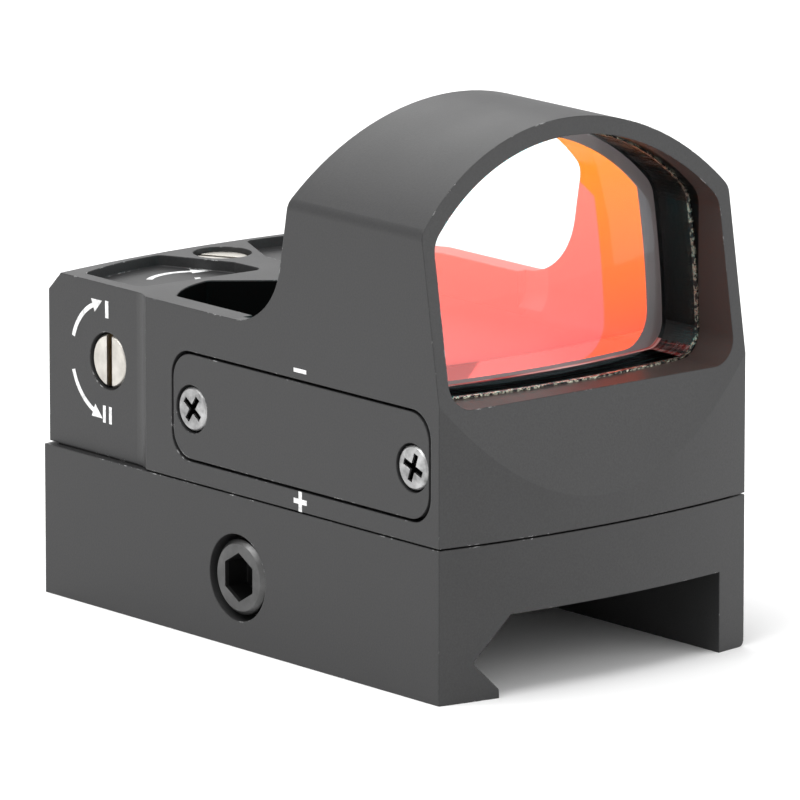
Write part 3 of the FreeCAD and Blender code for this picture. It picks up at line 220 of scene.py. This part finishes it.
def black_anodised(name, level, dark_regions=None):
    """Bead-blasted, black anodised aluminium with small bright nicks along its edges.
    dark_regions is a function that returns a mask of the surfaces painted a glossier black, with a painted
    red light near the lens."""
    material, tree, output = start_material(name)
    vector = place(tree)
    rounded = soft_edges(tree, EDGE_RADIUS)
    cloud = noise(tree, vector, 160.0, 4.0)
    grain = noise(tree, vector, BLAST_SCALE, 2.0)
    patches = remap(tree, cloud, 0.3, 0.7, 0.94, 1.06)
    tone = maths(tree, "MULTIPLY", patches, remap(tree, grain, 0.3, 0.7, 0.88, 1.12))
    scaled = tree.nodes.new("ShaderNodeVectorMath")
    scaled.operation = "SCALE"
    scaled.inputs[0].default_value = (level, level, level * 1.02)
    tree.links.new(tone, scaled.inputs["Scale"])
    edge = remap(tree, edge_mask(tree, rounded), 0.02, 0.12)
    specks = remap(tree, noise(tree, vector, 1500.0, 3.0, 0.7), 0.54, 0.62)
    stretches = remap(tree, noise(tree, vector, 220.0, 1.0), 0.50, 0.58)
    nicks = product(tree, [edge, specks, stretches])
    colour = blend_colours(tree, nicks, scaled.outputs[0], grey(0.55))
    roughness = remap(tree, cloud, 0.3, 0.7, 0.40, 0.46)
    gloss = HOUSING_GLOSS
    if dark_regions:
        inside = dark_regions(tree, vector)
        # In front of the lens rim the inside gets a painted red light from the coating.
        lit_by_lens = maths(tree, "LESS_THAN", split(tree, vector)[1], LENS_RIM_Y)
        with_painted_lens_light = blend_colours(tree, lit_by_lens, INSIDE_BLACK, PAINTED_LENS_LIGHT)
        colour = blend_colours(tree, inside, colour, with_painted_lens_light)
        roughness = maths(tree, "SUBTRACT", roughness, maths(tree, "MULTIPLY", inside, 0.12))
        gloss = remap(tree, inside, 0.0, 1.0, HOUSING_GLOSS, INSIDE_GLOSS)
    principled(tree, output, Base_Color=colour, Roughness=roughness, Specular_IOR_Level=gloss,
               Normal=bead_blasted(tree, vector, rounded))
    return material


def tunnel_and_well(tree, vector):
    """Return a mask of the lens tunnel's walls and of the well behind it, without the front face."""
    x, y, z = split(tree, vector)[:3]
    radius = length(tree, [x, maths(tree, "SUBTRACT", z, ARCH_CENTRE)])
    along_y = maths(tree, "ABSOLUTE", split(tree, own_normal(tree))[1])
    tunnel = product(tree, [
        maths(tree, "LESS_THAN", along_y, 0.5),
        within(tree, x, -TUNNEL_HALF_WIDTH, TUNNEL_HALF_WIDTH),
        maths(tree, "GREATER_THAN", z, TUNNEL_FLOOR),
        maths(tree, "LESS_THAN", radius, ARCH_INSIDE),
        maths(tree, "LESS_THAN", y, TUNNEL_BACK),
    ])
    well = product(tree, [
        within(tree, x, -WELL_HALF_WIDTH, WELL_HALF_WIDTH),
        within(tree, y, TUNNEL_BACK, WELL_BACK),
        within(tree, z, TUNNEL_FLOOR, WELL_TOP),
    ])
    return maths(tree, "MAXIMUM", tunnel, well)


RING_PITCH = 0.12 * MM


def metal(name, colour, roughness, axis_point=None, recess=None, worn=0.78):
    """Machined metal. axis_point (y, z) gives turned rings about an X axis.
    recess (axis, limit, sign, colour) paints what lies beyond a plane, such as a slot's floor, in that
    colour as painted shade.
    worn is how dark the worn patches are beside the rest."""
    material, tree, output = start_material(name)
    vector = place(tree)
    rounded = soft_edges(tree, 0.06 * MM)
    wear = noise(tree, vector, 900.0, 4.0, 0.6)
    shade = blend_colours(tree, remap(tree, wear, 0.35, 0.7), colour, darker(colour, worn))
    height = noise(tree, vector, 5200.0, 3.0)
    if axis_point:
        _, y, z = split(tree, vector)[:3]
        across = maths(tree, "SUBTRACT", y, axis_point[0])
        radius = length(tree, [across, maths(tree, "SUBTRACT", z, axis_point[1])])
        height = maths(tree, "SINE", maths(tree, "MULTIPLY", radius, 2 * math.pi / RING_PITCH))
    if recess:
        part = split(tree, vector)[recess[0]]
        test = "GREATER_THAN" if recess[2] > 0 else "LESS_THAN"
        deep = maths(tree, test, part, recess[1])
        shade = blend_colours(tree, deep, shade, recess[3])
    principled(tree, output, Base_Color=shade, Metallic=1.0,
               Roughness=remap(tree, wear, 0.3, 0.7, roughness, roughness + 0.14),
               Normal=bump(tree, height, 0.12, 0.01 * MM, rounded))
    return material


def rubber():
    """Black moulded rubber with a fine matt texture and a little dust."""
    material, tree, output = start_material("black_rubber_look")
    vector = place(tree)
    dust = remap(tree, noise(tree, vector, 500.0, 5.0, 0.7), 0.5, 0.75)
    colour = blend_colours(tree, dust, grey(0.018), grey(0.035))
    texture = noise(tree, vector, 4000.0, 3.0)
    principled(tree, output, Base_Color=colour, Roughness=0.68,
               Normal=bump(tree, texture, 0.3, 0.02 * MM, soft_edges(tree, 0.1 * MM)))
    return material


def moulded(name, colour, roughness):
    """Moulded plastic with a faint spark texture."""
    material, tree, output = start_material(name)
    vector = place(tree)
    cloud = noise(tree, vector, 300.0, 3.0)
    shade = blend_colours(tree, cloud, colour, darker(colour, 0.8))
    texture = noise(tree, vector, 5000.0, 2.0)
    principled(tree, output, Base_Color=shade,
               Roughness=remap(tree, cloud, 0.3, 0.7, roughness, roughness + 0.1),
               Normal=bump(tree, texture, 0.15, 0.015 * MM, soft_edges(tree, 0.08 * MM)))
    return material


def board():
    """Green solder mask with lighter copper tracks under it."""
    material, tree, output = start_material("board_look")
    vector = place(tree)
    tracks = tree.nodes.new("ShaderNodeTexVoronoi")
    tracks.feature = "DISTANCE_TO_EDGE"
    tracks.inputs["Scale"].default_value = 700.0
    tree.links.new(vector, tracks.inputs["Vector"])
    line = maths(tree, "LESS_THAN", tracks.outputs["Distance"], 0.08)
    colour = blend_colours(tree, line, (0.012, 0.085, 0.035, 1.0), (0.03, 0.16, 0.07, 1.0))
    principled(tree, output, Base_Color=colour, Roughness=0.3, Normal=bump(tree, line, 0.2, 0.02 * MM))
    return material


def white_ink():
    """Thin white marking paint, slightly uneven."""
    material, tree, output = start_material("white_ink_look")
    vector = place(tree)
    patches = noise(tree, vector, 2500.0, 3.0)
    colour = blend_colours(tree, remap(tree, patches, 0.3, 0.55), grey(0.55), grey(0.86))
    principled(tree, output, Base_Color=colour, Roughness=0.55, Normal=bump(tree, patches, 0.2, 0.02 * MM))
    return material


# Both faces of the lens are parts of spheres about one centre, given by its y and z.
LENS_Y = 40.44 * MM
LENS_Z = 20.63 * MM
FRONT_RADIUS = 60.0 * MM
BACK_RADIUS = 56.5 * MM
# The coating on the back stops short of the lens's own outline.
COAT_HALF_WIDTH = 11.2 * MM
COAT_FLOOR = 21.0 * MM
COAT_CORNER = 2.6 * MM
COAT_ARCH = 15.1 * MM
COAT_ARCH_CENTRE = 22.0 * MM
# A second reflection inside the glass is painted into the coating's colour as a painted reflection; it
# repeats the outline further towards -X.
PAINTED_GHOST_SHIFT = 4.6 * MM
# The coating's normal is the glass's own plus this turn. Its Z part grows to COAT_LEAN towards the floor.
COAT_TURN_X = -1.0
COAT_TURN_Y = -2.1
COAT_TURN_Z = -0.15
COAT_LEAN = 0.5
COAT_LEAN_END = 25.0 * MM
# Colour of a reflection in bare glass.
GLASS_GLINT = (0.75, 0.92, 1.0, 1.0)


def from_lens_centre(tree, parts):
    """Return the distance from the lens's centre of curvature."""
    x, y, z = parts
    return length(tree, [x, maths(tree, "SUBTRACT", y, LENS_Y), maths(tree, "SUBTRACT", z, LENS_Z)])


def coated_area(tree, x, z):
    """Return a mask of the coating's outline: an arch over a floor with round corners."""
    side = maths(tree, "SUBTRACT", maths(tree, "ABSOLUTE", x), COAT_HALF_WIDTH - COAT_CORNER)
    low = maths(tree, "SUBTRACT", COAT_FLOOR + COAT_CORNER, z)
    corner = length(tree, [maths(tree, "MAXIMUM", side, 0.0), maths(tree, "MAXIMUM", low, 0.0)])
    arch = length(tree, [x, maths(tree, "SUBTRACT", z, COAT_ARCH_CENTRE)])
    return maths(tree, "MULTIPLY", maths(tree, "LESS_THAN", corner, COAT_CORNER),
                 maths(tree, "LESS_THAN", arch, COAT_ARCH))


def flattened_normal(tree, z):
    """Return the coating's normal, flatter than the glass and turned towards -X, on either side of it.
    It leans up near the floor, so that it mirrors the room and not the tunnel's floor."""
    own = own_normal(tree)
    facing = maths(tree, "SIGN", maths(tree, "MULTIPLY", split(tree, own)[1], -1.0))
    lean = tree.nodes.new("ShaderNodeCombineXYZ")
    lean.inputs["X"].default_value = COAT_TURN_X
    lean.inputs["Y"].default_value = COAT_TURN_Y
    feed(tree, lean.inputs["Z"], remap(tree, z, COAT_FLOOR, COAT_LEAN_END, COAT_LEAN, COAT_TURN_Z))
    turned = tree.nodes.new("ShaderNodeVectorMath")
    turned.operation = "SCALE"
    tree.links.new(lean.outputs[0], turned.inputs[0])
    tree.links.new(facing, turned.inputs["Scale"])
    total = tree.nodes.new("ShaderNodeVectorMath")
    total.operation = "ADD"
    tree.links.new(own, total.inputs[0])
    tree.links.new(turned.outputs[0], total.inputs[1])
    unit = tree.nodes.new("ShaderNodeVectorMath")
    unit.operation = "NORMALIZE"
    tree.links.new(total.outputs[0], unit.inputs[0])
    return unit.outputs[0]


def shader(tree, kind, **sockets):
    """Add a plain shader node and return its output. Names are the socket names."""
    node = tree.nodes.new(kind)
    for name, source in sockets.items():
        feed(tree, node.inputs[name], source)
    return node.outputs[0]


def mix_shaders(tree, factor, first, second):
    node = tree.nodes.new("ShaderNodeMixShader")
    feed(tree, node.inputs["Fac"], factor)
    tree.links.new(first, node.inputs[1])
    tree.links.new(second, node.inputs[2])
    return node.outputs[0]


def bare_glass(tree, tint, reflection):
    """Return uncoated glass: a weak reflection over a faint tint."""
    clear = shader(tree, "ShaderNodeBsdfTransparent", Color=tint)
    glint = shader(tree, "ShaderNodeBsdfGlossy", Color=GLASS_GLINT, Roughness=0.02)
    return mix_shaders(tree, reflection, clear, glint)


def painted_coating_reflection(tree, parts):
    """Return the lens's underside: pink and red streaks along X in diffuse colour, a painted reflection of
    the mirrored coating.
    """
    line = tree.nodes.new("ShaderNodeCombineXYZ")
    feed(tree, line.inputs["X"], maths(tree, "MULTIPLY", parts[0], 0.06))
    feed(tree, line.inputs["Y"], from_lens_centre(tree, parts))
    bands = remap(tree, noise(tree, line.outputs[0], 2600.0, 2.0), 0.42, 0.6)
    colour = blend_colours(tree, bands, (0.62, 0.07, 0.06, 1.0), (1.0, 0.55, 0.52, 1.0))
    return shader(tree, "ShaderNodeBsdfDiffuse", Color=colour)


def lens():
    """Clear glass with a red-reflecting coating on its back, a painted second reflection in the coating's
    colour, and an underside streaked with a painted reflection of the coating.
    What the coating reflects, it takes from the light that goes through."""
    material, tree, output = start_material("lens_look")
    parts = split(tree, place(tree))[:3]
    x, _, z = parts
    height = remap(tree, z, 22.0 * MM, 36.0 * MM)
    orange = blend_colours(tree, height, (1.0, 0.09, 0.035, 1.0), (1.0, 0.24, 0.0, 1.0))
    # The salmon colour is the painted reflection for the second reflection inside the glass.
    painted_ghost_colour = blend_colours(tree, height, (0.80, 0.12, 0.11, 1.0), (0.92, 0.20, 0.14, 1.0))
    painted_ghost_area = coated_area(tree, maths(tree, "ADD", x, PAINTED_GHOST_SHIFT), z)
    reflected = blend_colours(tree, painted_ghost_area, orange, painted_ghost_colour)
    rest = tree.nodes.new("ShaderNodeInvert")
    tree.links.new(reflected, rest.inputs["Color"])
    mirror = shader(tree, "ShaderNodeBsdfGlossy", Color=reflected, Roughness=0.03,
                    Normal=flattened_normal(tree, z))
    both = tree.nodes.new("ShaderNodeAddShader")
    tree.links.new(mirror, both.inputs[0])
    tree.links.new(shader(tree, "ShaderNodeBsdfTransparent", Color=rest.outputs["Color"]), both.inputs[1])
    margin = mix_shaders(tree, 0.7, shader(tree, "ShaderNodeBsdfTransparent", Color=grey(1.0)),
                         shader(tree, "ShaderNodeBsdfDiffuse", Color=(0.42, 0.35, 0.35, 1.0)))
    bare = bare_glass(tree, (0.97, 0.99, 0.99, 1.0), 0.02)
    skin = 0.06 * MM
    back = within(tree, from_lens_centre(tree, parts), BACK_RADIUS - skin, BACK_RADIUS + skin)
    surface = mix_shaders(tree, coated_area(tree, x, z), margin, both.outputs[0])
    upright = maths(tree, "ABSOLUTE", split(tree, own_normal(tree))[2])
    level = maths(tree, "GREATER_THAN", upright, 0.7)
    # The flat underside below the coating shows a painted reflection of the coating.
    underside = maths(tree, "MULTIPLY", level, maths(tree, "LESS_THAN", z, COAT_FLOOR + COAT_CORNER))
    faces = mix_shaders(tree, back, bare, surface)
    tree.links.new(mix_shaders(tree, underside, faces, painted_coating_reflection(tree, parts)), output.inputs["Surface"])
    return material


def clear_glass(name, tint, reflection):
    """Thin clear glass."""
    material, tree, output = start_material(name)
    tree.links.new(bare_glass(tree, tint, reflection), output.inputs["Surface"])
    return material


def adhesive():
    """Black adhesive. Its rough front skin glitters."""
    material, tree, output = start_material("adhesive_look")
    vector = place(tree)
    lumps = noise(tree, vector, 2600.0, 4.0, 0.75)
    front = maths(tree, "GREATER_THAN", from_lens_centre(tree, split(tree, vector)[:3]), FRONT_RADIUS)
    glints = product(tree, [remap(tree, noise(tree, vector, 3300.0, 2.0), 0.48, 0.56), front])
    colour = blend_colours(tree, glints, grey(0.008), (0.62, 0.62, 0.5, 1.0))
    principled(tree, output, Base_Color=colour, Metallic=glints, Roughness=0.22,
               Normal=bump(tree, lumps, 1.0, 0.12 * MM))
    return material


def dress(node, material):
    """Give a CAD node one material."""
    slots = NODES[node].data.materials
    slots.clear()
    slots.append(material)


# Slots and sockets are painted darker from these depths below the fasteners' faces, as painted shade.
SLOT_PAINTED_SHADE = (0.30, 0.24, 0.16, 1.0)
SLOT_DEPTH = 0.25 * MM
SOCKET_DEPTH = 0.35 * MM
CROSS_DEPTH = 0.2 * MM


def dress_nodes():
    """Give every carried-over CAD node its finish."""
    windage_axis = ((WINDAGE_LOW.y + WINDAGE_HIGH.y) / 2, (WINDAGE_LOW.z + WINDAGE_HIGH.z) / 2)
    steel = (0.74, 0.71, 0.65, 1.0)
    dark = metal("black_steel_look", grey(0.055), 0.34)
    bright = metal("bright_steel_look", steel, 0.26)
    brass = metal("brass_look", (0.62, 0.45, 0.2, 1.0), 0.3)
    contact = metal("contact_look", (0.70, 0.58, 0.34, 1.0), 0.25)
    black_rubber = rubber()
    plastic = moulded("black_plastic_look", grey(0.02), 0.5)
    looks = {
        "optic_housing": black_anodised("housing_look", HOUSING_LEVEL, tunnel_and_well),
        "mount_base": black_anodised("base_look", BASE_LEVEL),
        "battery_door": black_anodised("door_look", HOUSING_LEVEL),
        "clamp_jaw": metal("jaw_look", grey(0.07), 0.36),
        # The bolt's socket floor gets a painted shade.
        "clamp_bolt": metal("bolt_look", grey(0.12), 0.34,
                            recess=(0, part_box("clamp_bolt")[0].x + SOCKET_DEPTH, 1, grey(0.05))),
        "base_screws": dark,
        # The slot floors of the windage and elevation screws get a painted shade.
        "windage_screw": metal("windage_look", (0.60, 0.575, 0.53, 1.0), 0.28, axis_point=windage_axis,
                               recess=(0, WINDAGE_LOW.x + SLOT_DEPTH, 1, SLOT_PAINTED_SHADE)),
        "elevation_screw": metal("elevation_look", steel, 0.26,
                                 recess=(2, ELEVATION_HIGH.z - SLOT_DEPTH, -1, SLOT_PAINTED_SHADE)),
        "windage_clip": bright,
        "elevation_clip": bright,
        "windage_spring": bright,
        "elevation_spring": bright,
        "locating_pins": bright,
        "carriage_guide_pins": bright,
        "windage_o_ring": black_rubber,
        "elevation_o_ring": black_rubber,
        "base_seal": black_rubber,
        "door_gasket": black_rubber,
        "brightness_up_button": black_rubber,
        "brightness_down_button": black_rubber,
        "battery_tray": plastic,
        "button_bezel": plastic,
        "emitter_holder": plastic,
        "driver_chip": moulded("chip_look", grey(0.03), 0.4),
        "tact_switches": moulded("switch_look", grey(0.05), 0.4),
        "elevation_carriage": brass,
        "windage_nut": brass,
        "battery": metal("cell_look", (0.78, 0.77, 0.74, 1.0), 0.22),
        "positive_contact": contact,
        "negative_contact": contact,
        "circuit_board": board(),
        "led_emitter": moulded("emitter_look", (0.5, 0.03, 0.02, 1.0), 0.15),
        "emitter_window": clear_glass("window_look", (0.95, 0.97, 0.96, 1.0), 0.06),
        "lens_bond": adhesive(),
        "objective_lens": lens(),
    }
    # The screws' cross recesses get a painted shade.
    for screw in ("door_screw_front", "door_screw_rear"):
        looks[screw] = metal(screw + "_look", grey(0.46), 0.34, worn=0.38,
                             recess=(0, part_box(screw)[0].x + CROSS_DEPTH, 1, grey(0.02)))
    for node, material in looks.items():
        dress(node, material)


# White markings

INK_RISE = 0.02 * MM
INK_SINK = 0.03 * MM


def flat_mark(name, points, to_world, normal):
    """Make a thin raised mark from a loop of flat points."""
    mesh = bpy.data.meshes.new(name)
    shape = bmesh.new()
    base = [shape.verts.new(to_world(*point) - normal * INK_SINK) for point in points]
    face = shape.faces.new(base)
    grown = bmesh.ops.extrude_face_region(shape, geom=[face])["geom"]
    for item in grown:
        if isinstance(item, bmesh.types.BMVert):
            item.co += normal * (INK_RISE + INK_SINK)
    bmesh.ops.recalc_face_normals(shape, faces=shape.faces)
    bmesh.ops.triangulate(shape, faces=[f for f in shape.faces if len(f.verts) > 4])
    shape.to_mesh(mesh)
    shape.free()
    mark = bpy.data.objects.new(name, mesh)
    bpy.context.scene.collection.objects.link(mark)
    mark.data.materials.append(INK)
    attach(mark, "housing")
    return mark


def bar(centre, length, width, angle=0.0):
    """Return a rectangle's corners."""
    along = Vector((math.cos(angle), math.sin(angle)))
    across = Vector((-along.y, along.x))
    middle = Vector(centre)
    return [middle + along * (sx * length / 2) + across * (sy * width / 2)
            for sx, sy in ((-1, -1), (1, -1), (1, 1), (-1, 1))]


def curved_arrow(centre, radius, start, end, width, head_length, head_width):
    """Return an arc-shaped arrow as one loop. Angles are in degrees, and the head is at the end."""
    turn = math.copysign(1, end - start)
    steps = 14
    angles = [math.radians(start + (end - start) * i / steps) for i in range(steps + 1)]

    def spot(angle, distance):
        return Vector((centre[0] + distance * math.cos(angle), centre[1] + distance * math.sin(angle)))

    outer = [spot(angle, radius + width / 2) for angle in angles]
    inner = [spot(angle, radius - width / 2) for angle in angles]
    last = angles[-1]
    ahead = Vector((-math.sin(last), math.cos(last))) * turn
    head = [spot(last, radius + head_width / 2), spot(last, radius) + ahead * head_length,
            spot(last, radius - head_width / 2)]
    return outer + head + inner[::-1]


# Widths of the painted lines, and how the marks stand to their screws and to the door.
STROKE = 0.36 * MM
MINUS_LENGTH = 1.4 * MM
MINUS_RISE = 0.85 * MM
PLUS_ARM = 0.72 * MM
PLUS_DROP = 0.95 * MM
RECESS_DEPTH = 0.55 * MM
WINDAGE_ARROW_RADIUS = 4.2 * MM
WINDAGE_TICK = 1.25 * MM
WINDAGE_TICK_UP = 3.75 * MM
WINDAGE_TICK_DOWN = 3.95 * MM
WINDAGE_TICK_SPREAD = 0.35 * MM
POCKET_FLOOR = HOUSING_LOW.z + 11.9 * MM
ELEVATION_ARROW_RADIUS = 3.6 * MM
ELEVATION_ARROW_CENTRE = Vector((-5.4, 15.2)) * MM
ELEVATION_TICK_CENTRE = Vector((-5.0, 15.6)) * MM
ELEVATION_TICK_STEP = Vector((0.95, -0.95)) * MM
ELEVATION_TICK_TURN = 1.1
# The marks sit a little towards the rear or the front of what they belong to.
MARK_OFFSET = 0.1 * MM
OUTWARD = Vector((-1, 0, 0))
UPWARD = Vector((0, 0, 1))


def on_side(y, z):
    return Vector((HOUSING_LOW.x, y, z))


def on_recess(y, z):
    return Vector((HOUSING_LOW.x + RECESS_DEPTH, y, z))


def on_pocket(x, y):
    return Vector((x, y, POCKET_FLOOR))


def make_polarity_signs():
    """Paint a minus above the battery door and a plus below it."""
    y = (DOOR_LOW.y + DOOR_HIGH.y) / 2 - MARK_OFFSET
    minus = bar((y, DOOR_HIGH.z + MINUS_RISE), MINUS_LENGTH, 0.8 * STROKE)
    flat_mark("mark_minus", minus, on_side, OUTWARD)
    middle = Vector((y, DOOR_LOW.z - PLUS_DROP))
    half = STROKE / 2
    corners = []
    for quarter in range(4):
        along = Vector((math.cos(quarter * math.pi / 2), math.sin(quarter * math.pi / 2)))
        sideways = Vector((-along.y, along.x))
        corners += [middle + along * PLUS_ARM - sideways * half, middle + along * PLUS_ARM + sideways * half,
                    middle + along * half + sideways * half]
    flat_mark("mark_plus", corners, on_side, OUTWARD)


def make_windage_marks():
    """Paint an arrow above and below the windage screw, with one tick at the upper and two at the lower."""
    y = (WINDAGE_LOW.y + WINDAGE_HIGH.y) / 2
    z = (WINDAGE_LOW.z + WINDAGE_HIGH.z) / 2
    for name, sign in (("upper", 1), ("lower", -1)):
        arrow = curved_arrow((y, z), WINDAGE_ARROW_RADIUS, sign * 17.0, sign * 66.0,
                             0.34 * MM, 1.15 * MM, 1.0 * MM)
        flat_mark(f"windage_arrow_{name}", arrow, on_recess, OUTWARD)
    tick_y = y + MARK_OFFSET
    upper = bar((tick_y, z + WINDAGE_TICK_UP), WINDAGE_TICK, STROKE, math.pi / 2)
    flat_mark("windage_tick_upper", upper, on_recess, OUTWARD)
    for number, shift in enumerate((-WINDAGE_TICK_SPREAD, WINDAGE_TICK_SPREAD), 1):
        lower = bar((tick_y + shift, z - WINDAGE_TICK_DOWN), WINDAGE_TICK, STROKE * 0.85, math.pi / 2)
        flat_mark(f"windage_tick_lower_{number}", lower, on_recess, OUTWARD)


def make_elevation_marks():
    """Paint an arrow and two ticks on the floor of the deck's pocket."""
    arrow = curved_arrow(ELEVATION_ARROW_CENTRE, ELEVATION_ARROW_RADIUS, 130.0, 60.0,
                         0.45 * MM, 1.3 * MM, 1.3 * MM)
    flat_mark("elevation_arrow", arrow, on_pocket, UPWARD)
    for number in (1, 2):
        centre = ELEVATION_TICK_CENTRE + (number - 1) * ELEVATION_TICK_STEP
        tick = bar(centre, 1.6 * MM, 0.42 * MM, ELEVATION_TICK_TURN)
        flat_mark(f"elevation_tick_{number}", tick, on_pocket, UPWARD)


# Studio

AIM = Vector((0.03, -1.00, 16.16)) * MM
AZIMUTH = math.radians(-39.48)
ELEVATION = math.radians(12.31)
DISTANCE = 726.97 * MM
SENSOR_WIDTH = 36.0
FOCAL_LENGTH = 459.9


def direction(azimuth, elevation):
    """Return the unit vector from the object towards a viewpoint."""
    return Vector((math.sin(azimuth) * math.cos(elevation), -math.cos(azimuth) * math.cos(elevation),
                   math.sin(elevation)))


def make_camera():
    data = bpy.data.cameras.new("camera")
    data.sensor_width = SENSOR_WIDTH
    data.lens = FOCAL_LENGTH
    data.clip_start = 0.05
    data.clip_end = 20.0
    camera = bpy.data.objects.new("camera", data)
    bpy.context.scene.collection.objects.link(camera)
    back = direction(AZIMUTH, ELEVATION)
    camera.location = AIM + back * DISTANCE
    camera.rotation_mode = "QUATERNION"
    camera.rotation_quaternion = (-back).to_track_quat("-Z", "Y")
    bpy.context.scene.camera = camera


def make_floor():
    """Make a wide white table."""
    half = 3.0
    mesh = bpy.data.meshes.new("floor")
    corners = [(-half, -half, 0), (half, -half, 0), (half, half, 0), (-half, half, 0)]
    mesh.from_pydata(corners, [], [(0, 1, 2, 3)])
    floor = bpy.data.objects.new("floor", mesh)
    bpy.context.scene.collection.objects.link(floor)
    material, tree, output = start_material("floor_look")
    principled(tree, output, Base_Color=grey(0.93), Roughness=0.9)
    mesh.materials.append(material)


def soft_box(name, azimuth, elevation, distance, size, power):
    """Make a square area light that faces the object."""
    data = bpy.data.lights.new(name, "AREA")
    data.size = size
    data.energy = power
    light = bpy.data.objects.new(name, data)
    bpy.context.scene.collection.objects.link(light)
    towards = direction(math.radians(azimuth), math.radians(elevation))
    light.location = Vector((0, 0, 0.02)) + towards * distance
    light.rotation_mode = "QUATERNION"
    light.rotation_quaternion = (-towards).to_track_quat("-Z", "Y")


ROOM_STRENGTH = 0.82
# Name, azimuth and elevation in degrees, distance and size in metres, and power in watts.
SOFT_BOXES = [
    ("front_light", 28, 14, 1.3, 1.4, 5.4),
    ("low_light", 62, 4, 1.2, 0.6, 2.2),
    ("top_light", -95, 66, 1.2, 0.9, 12.0),
    ("back_light", 163, 37, 1.2, 0.9, 3.8),
]


def make_studio():
    """Light the object with a white room and four soft boxes."""
    scene = bpy.context.scene
    scene.view_settings.view_transform = "Standard"
    world = bpy.data.worlds.new("studio")
    scene.world = world
    world.use_nodes = True
    background = world.node_tree.nodes["Background"]
    background.inputs["Color"].default_value = (1.0, 1.0, 1.0, 1.0)
    background.inputs["Strength"].default_value = ROOM_STRENGTH
    for light in SOFT_BOXES:
        soft_box(*light)


INK = white_ink()
dress_nodes()
make_polarity_signs()
make_windage_marks()
make_elevation_marks()
make_camera()
make_floor()
make_studio()
